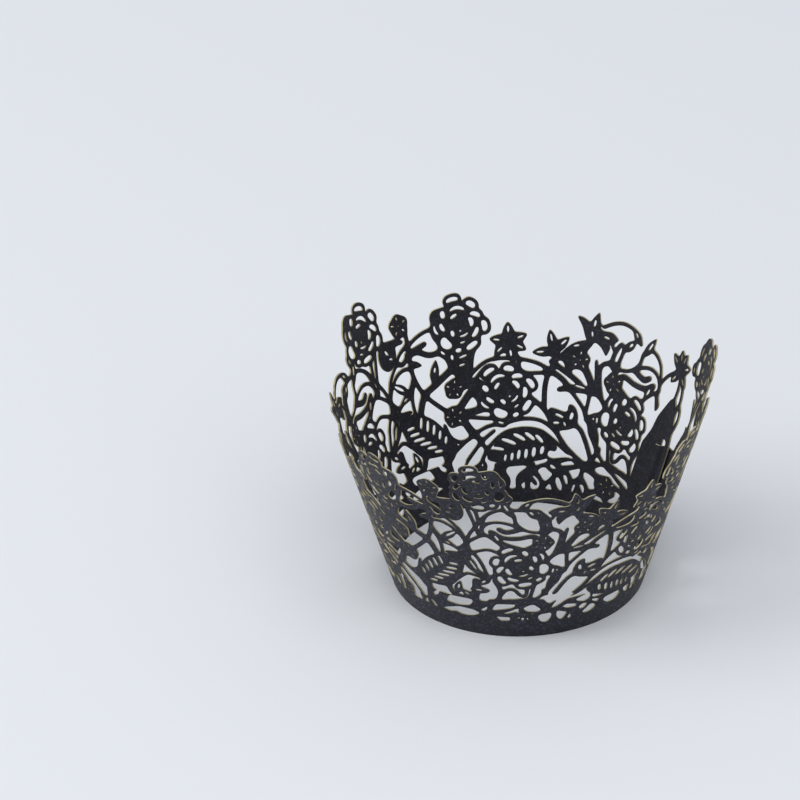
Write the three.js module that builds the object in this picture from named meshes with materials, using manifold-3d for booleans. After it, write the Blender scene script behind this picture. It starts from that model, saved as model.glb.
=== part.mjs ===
// Lace wrapper for a cupcake: one sheet of pearlescent card, laser cut in an openwork of roses, small
// flowers, leaves and stems, rolled into a cone and closed by a tongue through a slit.
// Millimetres, +Z up. The origin is at the middle of the foot, on the table.
//
// The sheet is drawn flat, as it is cut. A place on it is an angle round the cone in degrees and a
// height s in mm up the slant. Solid shapes and openings are laid over each other in the flat, and the
// outlines that remain are rolled onto the cone.

import * as THREE from "three";
import { mergeVertices } from "three/addons/utils/BufferGeometryUtils.js";
import Module from "manifold-3d";

// Driving dimensions. The lace below is drawn for a wrapper as tall as DRAWN_HEIGHT, and its heights and
// motifs grow with WRAPPER_HEIGHT.
const FOOT_DIAMETER = 50;
const WRAPPER_HEIGHT = 47.25;
const DRAWN_HEIGHT = 47.25;
const FLARE_ANGLE = 17;
const CARD_THICKNESS = 0.3;
const BAND_HEIGHT = 4.6;
const STEM_WIDTH = 0.8;
const UNIT_ANGLE = 113;
const UNIT_COUNT = 3;
const PETAL_EDGE = 0.72;
const ROSE_OUTER_PETALS = 7;
const ROSE_INNER_PETALS = 5;
const SMALLEST_SLIT = 1.9;
const FAN_FOOT = 1.5;

// The lap at the back: the near end lies inside and has the slit, the far end lies outside
const LAP_START = 16.5;
const LAP_END = 26;
const LAP_EASE = 9;
const NEAR_REST = 2;
const FAR_REST = 3;
const LAP_GAP = 0.3;
const SLIT_PLACE = 21;
const SLIT_WIDTH = 1.5;
const SLIT_BOTTOM = 9;
const SLIT_TOP = 23.5;
const TONGUE_SIDE_GAP = 1.2;
const TONGUE_ROOT = 14;
const TONGUE_CORNER = 1.6;
const PASS_SHARE = 1.25;

// Fineness of the curves and of the rolled surface
const CORNER_LIMIT = 1500;
const SMALLEST_GAP = 2;
const SMALLEST_OPENING = 0.3;
const NARROWEST_BAR = 0.2;
const LONGEST_EDGE = 7;
const RIM_STEP = 6;

const DEG = Math.PI / 180;
const SIN_FLARE = Math.sin(FLARE_ANGLE * DEG);
const COS_FLARE = Math.cos(FLARE_ANGLE * DEG);
const FLAT_RADIUS = FOOT_DIAMETER / 2 / SIN_FLARE;
const LAP_OFFSET = (LAP_GAP + CARD_THICKNESS / COS_FLARE) / 2;
const GROWTH = WRAPPER_HEIGHT / DRAWN_HEIGHT;
const FULL_TURN = 360;
const LAST_ANGLE = 148;

// Stems: each is a curve through places [angle, height], and a number first is its own width
const STEMS = [
  // long stems that rise from the band
  [[40, 7.6], [47, 9.6], [54, 12], [58, 14.8], [61, 18], [64.3, 21], [70, 24.2]],
  [1.0, [53, 4], [55.5, 8.2], [58, 11], [61.2, 14.2], [64.5, 16.6], [69, 17.4]],
  [1.0, [56, 8.6], [64, 10.4], [70, 12.6], [75, 16], [79, 19.4], [86, 22.4]],
  [[33, 9.4], [39, 10.6], [45, 10.9], [50, 11.1], [56, 9.6], [62, 8.8], [69, 7.6], [75, 6.9], [80, 4]],
  [[30, 6.6], [36, 7.4], [42, 8.6], [50, 10.6]],
  [1.2, [60, 4], [59.5, 6.8], [59, 9.4]],
  [[58, 9.4], [66, 9.2], [74, 8.6], [80, 7.6], [86, 8.4], [90, 8.6]],
  [[66, 4], [67, 6], [69.6, 7.4], [72, 5.6], [72.6, 4]],
  [1.1, [80, 4], [80.4, 6.4], [83, 8.4]],
  [1.1, [91, 4], [92, 6.6], [94.6, 8.6]],
  // arch over the fern leaf, in two strokes, and its run down to the right
  [[68, 11.6], [74, 15], [80, 17], [87, 17.2], [94, 16.4], [101, 15.9], [108, 14.2], [116, 11.6], [123, 9]],
  [[68, 11], [74, 13], [80, 14.9], [87, 15.2], [94, 14.4], [100, 12], [104, 9], [107, 4]],
  [[98, 15], [103, 13.2], [107, 11.2], [112, 8.4], [116, 4]],
  [[101, 10.6], [104.5, 13.4], [108, 15.2], [111, 18.4]],
  [[104, 13.6], [108, 16.8], [110, 19]],
  [[94, 17.4], [100, 17.6], [106, 18.2], [113, 19.2]],
  [[108, 14], [112, 13.6], [116, 15], [118, 18]],
  [1.6, [101, 20], [106, 19.4], [112, 19.4]],
  [2.0, [103, 25], [107, 25.4], [112, 24.6]],
  [1.6, [104, 24.6], [108, 22.4], [112, 20]],
  // stems round the small flower, the pennant leaf and the tulip bud
  [[62, 25], [62.4, 22], [63, 19.4]],
  [1.6, [60.6, 24.6], [63.4, 27.6], [67, 30.4]],
  [1.1, [58, 24.6], [62, 24.4], [67, 24.9], [74, 23.8]],
  [1.2, [66, 25.6], [70.6, 27.2], [77.4, 29.4]],
  [1.2, [70, 24.4], [73.6, 26.3], [79, 27.8]],
  [1.1, [76.4, 31.6], [76, 29], [78, 27], [79.1, 24], [79, 20]],
  [1.4, [70, 29], [71.8, 27.6]],
  // outer arches on top of rose C, to the foot of rose A
  [[77, 27.4], [81, 28.6], [86, 29.4], [93, 29.8], [99, 29.6], [104, 27.8], [108, 25.6]],
  [[77, 27.2], [82, 26.8], [87, 26.9], [91, 29.6]],
  [[89, 25.6], [88.6, 29.4], [92, 33.2]],
  [[97, 28.4], [99.6, 28.4], [103, 26.6], [105, 25]],
  [[92, 33.2], [95, 31], [97, 29.6]],
  // hook vine between rose A and the tall stem
  [[114, 37], [118, 38], [122, 37.6], [125, 36.8], [128, 35.8]],
  [1.2, [113, 34.6], [116.4, 33], [120, 33], [124, 34.4], [128, 34.2]],
  [1.2, [120.6, 35.5], [124, 35], [128, 34.6]],
  [1.4, [113, 34.6], [116, 35.6], [117, 37.4]],
  // tall stem and its branches
  [0.95, [131, 41.4], [127.4, 39.6], [127, 36], [127.4, 32], [126.8, 29], [124.4, 25.6], [120, 22.6],
    [113, 19]],
  [1.5, [112, 29], [116, 27.6], [119, 26.6], [124, 25.2], [126.6, 22.6], [128, 20.4]],
  [[126.8, 29], [129, 26.4], [129.6, 24], [129, 20.6]],
  [[127.2, 29.6], [131, 26.4], [135, 25], [138, 23.4], [141, 20], [146, 17]],
  [[127.2, 31.4], [131, 31.9], [135, 30.8], [138, 28.6], [140, 25.4], [139.6, 23]],
  [[127, 36.6], [131, 35.2], [134, 33], [137, 31], [139, 28]],
  [1.0, [129, 37.6], [133, 37.6], [136, 36]],
  [[126.4, 39.4], [131, 38.4], [135, 38.6], [139, 39]],
  [1.1, [128, 34], [130.6, 33], [132.6, 33.8]],
  // bundle that climbs to rose B and to the next unit
  [[136, 24.6], [141, 27.8], [146, 29.8], [150, 28.6], [154, 27.2], [158, 26.4]],
  [[138, 23.6], [140.4, 29], [143.6, 32.4], [147, 35.8], [151, 37.4], [155, 37.6], [160, 37.4], [163.6, 37.2],
    [165, 35], [166, 31.4]],
  [[140, 40], [141.6, 36], [143, 32.6], [143.8, 30]],
  [[142, 42], [143.6, 37], [144.4, 33.4]],
  [[131, 23], [137, 23.6], [142, 24.6], [147, 25.6], [152, 24]],
  [[137, 25.2], [141.6, 23.8], [144, 21], [146, 17]],
  [[136.6, 22.6], [139.6, 19.4], [146, 17]],
  [[134, 15.8], [138, 17.8], [142, 17.4], [146, 17.2], [150, 19]],
  // arcs with small leaves, left of the lily
  [[33, 30.4], [33.6, 33.4], [35.6, 36], [40, 37.5], [43.6, 36.2], [44.4, 33.6], [48, 31.4], [53, 30.7]],
  [[32.6, 31], [35, 33.2], [39, 33.9], [43, 33.2], [45.4, 32.2]],
  [[45.4, 37.4], [47.6, 39.4], [52.6, 40.3], [57, 39.6], [62, 37.6]],
  [[53, 36.2], [51.8, 35], [53.4, 31]],
  [1.0, [53.6, 35.6], [55, 33.6], [55.4, 31], [53, 30.2]],
  [1.3, [38.8, 31.9], [41, 31], [43.6, 31.4], [46, 32]],
  [[32.6, 30.8], [37, 28.6], [41, 26], [45, 24]],
  [1.2, [36, 31], [40, 29.4], [45, 29.2], [50, 29.8], [53, 28]],
  [1.2, [40, 25.4], [43, 25.6], [48, 25.2], [52, 26.6]],
  // hooked stem
  [1.0, [52.6, 31.6], [56.6, 31.4], [59.4, 30.2], [59.2, 27.6], [57.4, 24], [54, 21.6]],
  [[61.3, 31.2], [60.6, 28.4], [59.8, 24.6]],
  [[57, 23.4], [60, 24.6], [63, 25.2]],
  // feet under rose D
  [1.0, [36, 16.6], [38.2, 13.6], [37, 10.8], [34.6, 8.4], [31, 6]],
  [[38.2, 12.2], [40.6, 14], [43.6, 14], [45.6, 12.4], [48, 12.2], [48.4, 16]],
  [[52, 18], [50.6, 14], [49.2, 10.8]],
  [1.0, [54, 20], [58, 20.2], [61.4, 18.8]],
  [1.0, [54.6, 13.6], [57, 11], [59, 9.6]],
  // forms that stand on the band under the striped leaf
  [1.2, [117, 4], [118, 8], [119.6, 11.6]],
  [1.2, [121.4, 12.4], [122, 9.6], [124, 7], [131, 7.5], [137, 7.3], [143, 5.4]],
  [1.3, [129, 13], [130.4, 10.9], [134, 10.3], [138, 10.4]],
  [1.6, [138, 4], [139, 9], [140.4, 12.6], [141, 16]],
  [1.2, [138, 9.6], [143, 9], [147, 9.5]],
  [[144, 4], [144.6, 7], [147, 9.6]],
];

// Roses: [angle, height, radius, turn]
const ROSES = [
  [45.5, 21, 6.6, 10],
  [93.8, 23, 6.3, 40],
  [108.3, 37.9, 6.2, 0],
  [145, 43.4, 6.4, 25],
];

// Small five-petalled flowers: [angle, height, radius, turn]
const FLOWERS = [
  [67.2, 30.6, 2.3, 20],
  [53.4, 27.6, 2.4, 0],
  [112.2, 24.8, 2.3, 30],
  [113.4, 19.1, 2.4, 10],
  [129, 41, 2.5, 15],
  [47.6, 6.6, 2.4, 5],
  [104.6, 6.8, 2.2, 30],
];

// Star flowers and sprigs: [angle, height, directions of the petals, petal length, petal width]
const STARS = [
  [91.8, 33.3, [88, 9, 318, 262, 208, 160], 4.1, 1.9],
  [76.6, 31.6, [351, 76, 133], 4.7, 1.8],
];

// Leaves: [foot angle, foot height, tip angle, tip height, width, length of the slit as a share]
const LEAVES = [
  [43.4, 35.4, 39.8, 40.4, 1.9, 0.4],
  [45.6, 37.4, 49.6, 40.4, 1.9, 0.35],
  [51.6, 34.8, 47.4, 38, 2.0, 0.35],
  [119.8, 26.8, 117.4, 31.9, 2.1, 0.25],
  [128, 32.6, 122.6, 31.3, 1.5, 0],
  [130.2, 26.8, 137, 30.2, 2.0, 0.6],
  [128.6, 26.8, 135.4, 25.2, 1.7, 0.35],
  [36.2, 31.6, 39.4, 27.2, 2.0, 0.4],
  [54, 20.4, 63.6, 18.4, 2.4, 0.1],
  [60.6, 18.8, 55.4, 13.2, 2.4, 0],
  [138.4, 23.2, 142.6, 18.4, 1.7, 0.6],
  [146.6, 13.4, 137.6, 13.2, 1.9, 0.35],
  [147, 17.4, 141.4, 14.6, 1.9, 0.35],
  [132, 11, 134.6, 15.2, 1.8, 0.4],
  [139.6, 10.6, 134, 12.6, 2.0, 0.4],
  [119.6, 10.2, 114.8, 12.4, 2.0, 0],
  [80, 4, 73, 7.2, 2.0, 0.2],
  [32, 4, 38.6, 8.4, 2.2, 0],
  [56, 4, 51, 8.2, 1.6, 0],
];

// Half-round fans on the band: [angle, radius]
const FANS = [
  [69.4, 3.2],
  [86.4, 3.4],
  [125.6, 2.4],
];

// Ends of the sheet round the cone: the near panel and its tip, and the far panel that carries the tongue
const NEAR_PANEL = [[16.5, 4], [16.5, 22], [18.4, 26], [22.7, 31.8], [26.4, 29.6], [29, 27], [31, 23],
  [34.6, 19.4], [36, 12], [36, 4]];
const NEAR_TIP = [[30.4, 28], [33, 30.6], [34.6, 30], [32, 26.4]];
const FAR_PANEL = [[366, 4], [366, 31], [369.6, 29.4], [373.4, 24.4], [375.6, 19], [375.6, 4]];

let wasm;

function onSheet(angle, height) {
  const turn = angle * SIN_FLARE * DEG;
  const reach = FLAT_RADIUS + height * GROWTH;
  return new THREE.Vector2(reach * Math.sin(turn), reach * Math.cos(turn));
}

function placed(points, angle, height, turn = 0) {
  const centre = onSheet(angle, height);
  const spin = turn * DEG - angle * SIN_FLARE * DEG;
  const set = (p) => p.clone().multiplyScalar(GROWTH).rotateAround(new THREE.Vector2(), spin).add(centre);
  return points.map(set);
}

function ellipse(x, y, rx, ry, turn = 0, count = 12) {
  const curve = new THREE.EllipseCurve(0, 0, rx, ry, 0, 2 * Math.PI);
  const points = curve.getPoints(count).slice(0, count);
  return points.map((p) => p.rotateAround(new THREE.Vector2(), turn * DEG).add(new THREE.Vector2(x, y)));
}

// The opening inside a petal, wide at its foot and narrow at its brow
function petalOpening(halfWidth, base, rise) {
  const shape = [[-1, 0], [1, 0.04], [0.56, 1], [-0.56, 0.96]];
  return shape.map(([u, v]) => new THREE.Vector2(u * halfWidth, base + v * rise));
}

// A leaf along +Y from the origin, pointed at both ends
function leafShape(length, width, steps = 5) {
  const side = (sign, from, to) => {
    const points = [];
    for (let i = 0; i < steps; i += 1) {
      const t = from + (to - from) * i / steps;
      points.push(new THREE.Vector2(sign * width / 2 * Math.sin(Math.PI * t ** 0.8), length * t));
    }
    return points;
  };
  return [...side(1, 0, 1), ...side(-1, 1, 0)];
}

function slot(x, y, length, width, turn) {
  const shape = [[-0.5, -0.5], [0.5, -0.42], [0.5, 0.5], [-0.5, 0.42]];
  const points = shape.map(([u, v]) => new THREE.Vector2(u * width, v * length));
  return points.map((p) => p.rotateAround(new THREE.Vector2(), turn * DEG).add(new THREE.Vector2(x, y)));
}

function ribbon(places, width, shift) {
  const spline = new THREE.SplineCurve(places.map(([angle, height]) => onSheet(angle + shift, height)));
  const count = Math.max(4, Math.round(spline.getLength() / 1.1));
  const left = [];
  const right = [];
  for (let i = 0; i <= count; i += 1) {
    const point = spline.getPointAt(i / count);
    const along = spline.getTangentAt(i / count);
    const across = new THREE.Vector2(-along.y, along.x).multiplyScalar(width * GROWTH / 2);
    left.push(point.clone().add(across));
    right.push(point.clone().sub(across));
    if (i === 0) right.unshift(point.clone().addScaledVector(along, -width / 2));
    if (i === count) right.push(point.clone().addScaledVector(along, width / 2));
  }
  return [...right, ...left.reverse()];
}

function solidFrom(outline, openings = []) {
  const shape = new THREE.Shape(outline);
  shape.holes = openings.map((opening) => new THREE.Path(opening));
  const raw = new THREE.ExtrudeGeometry(shape, { depth: 1, bevelEnabled: false });
  raw.deleteAttribute("normal");
  raw.deleteAttribute("uv");
  const geometry = mergeVertices(raw, 1e-4);
  return new wasm.Manifold(new wasm.Mesh({
    numProp: 3,
    vertProperties: new Float32Array(geometry.attributes.position.array),
    triVerts: new Uint32Array(geometry.index.array),
  }));
}

function addRose(layers, angle, height, radius, turn) {
  const rim = 1 - PETAL_EDGE / radius;
  layers.solid.push(placed(ellipse(0, 0, radius * 0.8, radius * 0.8, 0, 16), angle, height));
  for (let i = 0; i < ROSE_OUTER_PETALS; i += 1) {
    const at = turn + i * 360 / ROSE_OUTER_PETALS;
    const petal = ellipse(0, radius * 0.68, radius * 0.34, radius * 0.32, 0, 10);
    layers.solid.push(placed(petal, angle, height, at));
    const opening = petalOpening(radius * 0.24, radius * 0.64, radius * (rim - 0.64));
    layers.open.push(placed(opening, angle, height, at));
  }
  for (let i = 0; i < ROSE_INNER_PETALS; i += 1) {
    const opening = petalOpening(radius * 0.22, radius * 0.37, radius * 0.16);
    layers.open.push(placed(opening, angle, height, turn + 20 + i * 360 / ROSE_INNER_PETALS));
  }
}

function addFlower(layers, angle, height, radius, turn) {
  layers.solid.push(placed(ellipse(0, 0, radius * 0.62, radius * 0.62, 0, 10), angle, height));
  for (let i = 0; i < 5; i += 1) {
    const petal = ellipse(0, radius * 0.62, radius * 0.37, radius * 0.38, 0, 8);
    layers.solid.push(placed(petal, angle, height, turn + i * 72));
  }
}

function addStar(layers, angle, height, directions, length, width) {
  for (const direction of directions) {
    layers.solid.push(placed(leafShape(length, width), angle, height, direction - 90));
  }
  layers.solid.push(placed(ellipse(0, 0, width * 0.6, width * 0.6, 0, 8), angle, height));
}

function addLeaf(layers, shift, footAngle, footHeight, tipAngle, tipHeight, width, slit) {
  const foot = onSheet(footAngle + shift, footHeight);
  const reach = onSheet(tipAngle + shift, tipHeight).sub(foot);
  const length = reach.length();
  const spin = reach.angle() - Math.PI / 2;
  const set = (points) => points.map((p) => p.rotateAround(new THREE.Vector2(), spin).add(foot));
  layers.solid.push(set(leafShape(length, width * GROWTH)));
  if (length * slit > SMALLEST_SLIT) {
    layers.open.push(set(slot(0, length * 0.55, length * slit, width * GROWTH * 0.3, 0)));
  }
}

function addFan(layers, angle, radius) {
  const dome = new THREE.EllipseCurve(0, 0, radius, radius, 0, Math.PI).getPoints(12);
  dome.push(new THREE.Vector2(-radius, -FAN_FOOT), new THREE.Vector2(radius, -FAN_FOOT));
  layers.solid.push(placed(dome, angle, BAND_HEIGHT - 0.3));
}

// Area bounded by straight or curved sides through places [angle, height]
function patch(places, shift, smooth = true) {
  const points = places.map(([angle, height]) => onSheet(angle + shift, height));
  if (!smooth) return points;
  const spline = new THREE.CatmullRomCurve3(points.map((p) => new THREE.Vector3(p.x, p.y, 0)), true);
  return spline.getPoints(places.length * 4).slice(0, -1).map((p) => new THREE.Vector2(p.x, p.y));
}

// The fern leaf: a solid leaf with slanting slits above its rib and upright ones below
function addFern(layers, shift) {
  const edge = [[72.6, 11.6], [76, 13.2], [81, 14.8], [87, 15], [93, 14.3], [98, 12.4], [102, 9.4],
    [97, 8.9], [90, 8.5], [83, 8.8], [77, 9.6]];
  layers.solid.push(patch(edge, shift));
  for (let i = 0; i < 6; i += 1) {
    layers.open.push(placed(slot(0, 0, 1.9, 0.7, 6), 78.8 + i * 3.1 + shift, 10.9 - i * 0.26));
  }
  const upper = [[80.4, 13, 1.9], [84.4, 13.4, 2.2], [88.2, 13.3, 2.4], [92.2, 12.6, 2.8], [96, 11.5, 2.6]];
  upper.forEach(([angle, height, length], i) => {
    layers.open.push(placed(slot(0, 0, length, 0.72, -46 - i * 7), angle + shift, height));
  });
}

// The striped leaf: one group of upright slits and one of level ones
function addStripedLeaf(layers, shift) {
  const edge = [[113.4, 12.2], [117, 16], [121.6, 19.4], [127, 21.6], [133, 22.8], [137.6, 23.2],
    [136.6, 18.6], [133.4, 14.8], [128.6, 12.6], [121, 11.9]];
  layers.solid.push(patch(edge, shift));
  for (let i = 0; i < 5; i += 1) {
    layers.open.push(placed(slot(0, 0, 1.5 + 0.2 * i, 0.62, 14), 118.6 + i * 2.3 + shift, 15 + i * 1.12));
  }
  for (let i = 0; i < 5; i += 1) {
    const cut = slot(0, 0, 2.1 + 0.35 * i, 0.5, 80 - i);
    layers.open.push(placed(cut, 122.6 + i * 2.05 + shift, 13.2 + i * 1.02));
  }
}

// The lily, the leaf with the small flower, the pennant leaf, the tulip bud and the seed bud
function addOddMotifs(layers, shift) {
  const lily = [[62.4, 41.3], [64.2, 39.8], [65.2, 38.6], [67, 39.4], [69.8, 39.6], [67.6, 37.6], [66, 35],
    [62, 34.8], [60, 34], [58, 32.4], [57, 34.4], [54.6, 34.2], [56, 35.4], [54, 36.6], [57, 37.8], [60.2, 37.6],
    [61.6, 39]];
  layers.solid.push(patch(lily, shift, false));
  layers.open.push(placed(slot(0, 0, 1.6, 0.5, -8), 63.4 + shift, 38.6));
  const flowerLeaf = [[63, 34.8], [67, 34.7], [71, 33.4], [74.4, 31.2], [76, 29.6], [73.4, 29.8], [71.6, 28],
    [69.6, 29], [67, 31]];
  layers.solid.push(patch(flowerLeaf, shift));
  const pennant = [[59.4, 24.6], [65, 25.7], [70, 25.1], [74.4, 23.6], [68, 23.7], [62, 24]];
  layers.solid.push(patch(pennant, shift, false));
  const tulip = [[65.4, 18.2], [66.8, 20.6], [69.8, 21.2], [70.2, 19.4], [75.6, 19.9], [77.4, 19.4], [74.6, 15.6],
    [70.6, 15.6], [67, 16.4]];
  layers.solid.push(patch(tulip, shift));
  layers.open.push(placed(slot(0, 0, 2, 0.75, -14), 68.3 + shift, 18.8));
  layers.open.push(placed(slot(0, 0, 2, 0.6, -72), 73 + shift, 18.4));
  layers.solid.push(placed(ellipse(0, 0, 2.4, 3.2, 38, 16), 135.9 + shift, 36));
  const neck = [[101, 35], [103.6, 31], [105.2, 26.6], [108.6, 25.6], [111.6, 27.6], [113.8, 30.4], [115, 34.4],
    [108, 36]];
  layers.solid.push(patch(neck, shift));
  layers.open.push(placed(slot(0, 0, 2.6, 0.8, 66), 104.6 + shift, 32.6));
  layers.open.push(placed(slot(0, 0, 1.6, 0.5, 80), 108.2 + shift, 29.6));
  layers.open.push(placed(slot(0, 0, 1.5, 0.7, -20), 111.4 + shift, 31));
  layers.open.push(placed(ellipse(0, 0, 1.5, 0.9, -10, 5), 109.2 + shift, 27.9));
}

// The lap: the near panel with its slit, and the far panel with the tongue that goes through it
function addLap(layers) {
  layers.solid.push(patch(NEAR_PANEL, 0, false), patch(NEAR_TIP, 0, false), patch(FAR_PANEL, 0, false));
  const slit = slot(0, 0, (SLIT_TOP - SLIT_BOTTOM) * 1.06, SLIT_WIDTH, 0);
  layers.open.push(placed(slit, SLIT_PLACE, (SLIT_TOP + SLIT_BOTTOM) / 2));
  const low = SLIT_BOTTOM + TONGUE_SIDE_GAP;
  const high = SLIT_TOP - TONGUE_SIDE_GAP;
  const root = FULL_TURN + TONGUE_ROOT;
  const tip = FULL_TURN + LAP_END;
  const tongue = [[root - 6, low - 1], [root, low], [tip - 1, low + TONGUE_CORNER],
    [tip, low + 2 * TONGUE_CORNER], [tip, high - 2 * TONGUE_CORNER], [tip - 1, high - TONGUE_CORNER],
    [root, high], [root - 6, high + 1]];
  layers.solid.push(patch(tongue, 0, false));
}

function addBand(layers) {
  const first = LAP_START;
  const last = FULL_TURN + LAP_END - 4;
  const count = Math.round((last - first) / RIM_STEP);
  const foot = [];
  const top = [];
  for (let i = 0; i <= count; i += 1) {
    const angle = first + (last - first) * i / count;
    foot.push(onSheet(angle, 0));
    top.unshift(onSheet(angle, BAND_HEIGHT));
  }
  layers.solid.push([...foot, ...top]);
}

function drawSheet() {
  const layers = { solid: [], open: [] };
  addBand(layers);
  for (let unit = 0; unit < UNIT_COUNT; unit += 1) {
    const shift = unit * UNIT_ANGLE;
    const lastUnit = unit === UNIT_COUNT - 1;
    for (const stem of STEMS) {
      const own = typeof stem[0] === "number";
      let places = own ? stem.slice(1) : stem;
      if (lastUnit) places = places.filter(([angle]) => angle <= LAST_ANGLE);
      if (places.length < 2) continue;
      layers.solid.push(ribbon(places, own ? stem[0] : STEM_WIDTH, shift));
    }
    addFern(layers, shift);
    addStripedLeaf(layers, shift);
    addOddMotifs(layers, shift);
    for (const leaf of LEAVES) addLeaf(layers, shift, ...leaf);
    for (const [angle, radius] of FANS) addFan(layers, angle + shift, radius);
    for (const [angle, height, ...rest] of STARS) addStar(layers, angle + shift, height, ...rest);
    for (const [angle, height, ...rest] of ROSES) addRose(layers, angle + shift, height, ...rest);
    for (const [angle, height, ...rest] of FLOWERS) addFlower(layers, angle + shift, height, ...rest);
  }
  addLap(layers);
  return layers;
}

function united(outlines) {
  return wasm.Manifold.union(outlines.map((outline) => solidFrom(outline)));
}

// Closed outlines of the top face of the flat solid: outer ones run anticlockwise, openings clockwise
function outlinesOf(flat) {
  const { vertProperties: at, triVerts: corners } = flat.getMesh();
  const sides = new Set();
  for (let i = 0; i < corners.length; i += 3) {
    const face = [corners[i], corners[i + 1], corners[i + 2]];
    if (face.some((v) => at[v * 3 + 2] < 0.5)) continue;
    face.forEach((v, k) => sides.add(`${v}|${face[(k + 1) % 3]}`));
  }
  const next = new Map();
  for (const side of sides) {
    const [from, to] = side.split("|");
    if (sides.has(`${to}|${from}`)) continue;
    if (!next.has(from)) next.set(from, []);
    next.get(from).push(to);
  }
  const loops = [];
  for (const start of next.keys()) {
    while (next.get(start).length > 0) {
      const loop = [];
      let here = start;
      do {
        loop.push(new THREE.Vector2(at[here * 3], at[here * 3 + 1]));
        here = next.get(here).pop();
      } while (here !== start);
      loops.push(loop);
    }
  }
  return loops;
}

function triangleArea(a, b, c) {
  return ((b.x - a.x) * (c.y - a.y) - (b.y - a.y) * (c.x - a.x)) / 2;
}

function distanceToSide(p, a, b) {
  const side = b.clone().sub(a);
  const share = Math.min(1, Math.max(0, p.clone().sub(a).dot(side) / side.lengthSq()));
  return p.distanceTo(a.clone().addScaledVector(side, share));
}

// Takes away the corners that change an outline least, until no more than the limit are left. A corner
// stays where the new side would come too near another outline or an opening.
function thinned(loops, limit, openings) {
  const left = loops.map((loop) => [...loop]);
  const gone = new Set();
  let total = left.reduce((sum, loop) => sum + loop.length, 0);
  for (let least = 0.004; least < 1 && total > limit; least *= 1.2) {
    const all = [...left.flat(), ...openings];
    for (const loop of left) {
      for (let i = 0; i < loop.length && loop.length > 3 && total > limit; i += 1) {
        const before = loop[(i + loop.length - 1) % loop.length];
        const after = loop[(i + 1) % loop.length];
        if (Math.abs(triangleArea(before, loop[i], after)) > least) continue;
        const reach = before.distanceTo(after);
        const blocked = all.some((p) => p !== before && p !== after && p !== loop[i] && !gone.has(p)
          && p.distanceTo(before) < reach + NARROWEST_BAR && distanceToSide(p, before, after) < NARROWEST_BAR);
        if (blocked) continue;
        gone.add(loop[i]);
        loop.splice(i, 1);
        total -= 1;
      }
    }
  }
  return left;
}

function outerOf(loops) {
  const { area } = THREE.ShapeUtils;
  return loops.reduce((best, loop) => (area(loop) > area(best) ? loop : best));
}

class SheetMesh {
  constructor(points, faces) {
    this.points = points;
    this.faces = faces;
  }

  edgeMap() {
    const edges = new Map();
    this.faces.forEach((face, f) => {
      for (let k = 0; k < 3; k += 1) {
        const a = face[k];
        const b = face[(k + 1) % 3];
        const key = Math.min(a, b) * 1e6 + Math.max(a, b);
        if (!edges.has(key)) edges.set(key, []);
        edges.get(key).push(f);
      }
    });
    return edges;
  }

  area(...corners) {
    return triangleArea(...corners.map((v) => this.points[v]));
  }

  // Turns inner edges until no triangle is needlessly long
  flip() {
    for (let pass = 0; pass < 60; pass += 1) {
      let turned = 0;
      const touched = new Set();
      for (const [key, pair] of this.edgeMap()) {
        if (pair.length !== 2 || touched.has(pair[0]) || touched.has(pair[1])) continue;
        const a = Math.floor(key / 1e6);
        const b = key % 1e6;
        const c = this.faces[pair[0]].find((v) => v !== a && v !== b);
        const d = this.faces[pair[1]].find((v) => v !== a && v !== b);
        if (this.cornerAngle(c, a, b) + this.cornerAngle(d, a, b) <= Math.PI + 1e-6) continue;
        const first = this.area(c, d, b);
        const second = this.area(d, c, a);
        if (Math.abs(first) < 1e-7 || Math.abs(second) < 1e-7 || first * second < 0) continue;
        this.faces[pair[0]] = first > 0 ? [c, d, b] : [d, c, b];
        this.faces[pair[1]] = second > 0 ? [d, c, a] : [c, d, a];
        touched.add(pair[0]).add(pair[1]);
        turned += 1;
      }
      if (turned === 0) break;
    }
  }

  cornerAngle(at, from, to) {
    const u = this.points[from].clone().sub(this.points[at]);
    const v = this.points[to].clone().sub(this.points[at]);
    return Math.abs(Math.atan2(u.x * v.y - u.y * v.x, u.dot(v)));
  }

  // Halves each edge that is too long to follow the cone
  split(longest) {
    for (let pass = 0; pass < 6; pass += 1) {
      const middle = new Map();
      for (const key of this.edgeMap().keys()) {
        const a = Math.floor(key / 1e6);
        const b = key % 1e6;
        if (this.points[a].distanceTo(this.points[b]) <= longest) continue;
        middle.set(key, this.points.length);
        this.points.push(this.points[a].clone().lerp(this.points[b], 0.5));
      }
      if (middle.size === 0) return;
      const faces = [];
      for (const face of this.faces) this.divide(face, middle, faces);
      this.faces = faces;
      this.flip();
    }
  }

  divide(face, middle, out) {
    const mid = [0, 1, 2].map((k) => {
      const [a, b] = [face[k], face[(k + 1) % 3]];
      return middle.get(Math.min(a, b) * 1e6 + Math.max(a, b));
    });
    const k = mid.findIndex((m) => m !== undefined);
    if (k < 0) {
      out.push(face);
      return;
    }
    const [a, b, c] = [face[k], face[(k + 1) % 3], face[(k + 2) % 3]];
    const rest = new Map(middle);
    rest.delete(Math.min(a, b) * 1e6 + Math.max(a, b));
    this.divide([a, mid[k], c], rest, out);
    this.divide([mid[k], b, c], rest, out);
  }
}

function smoothStep(x) {
  const t = Math.min(1, Math.max(0, x));
  return t * t * (3 - 2 * t);
}

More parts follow.
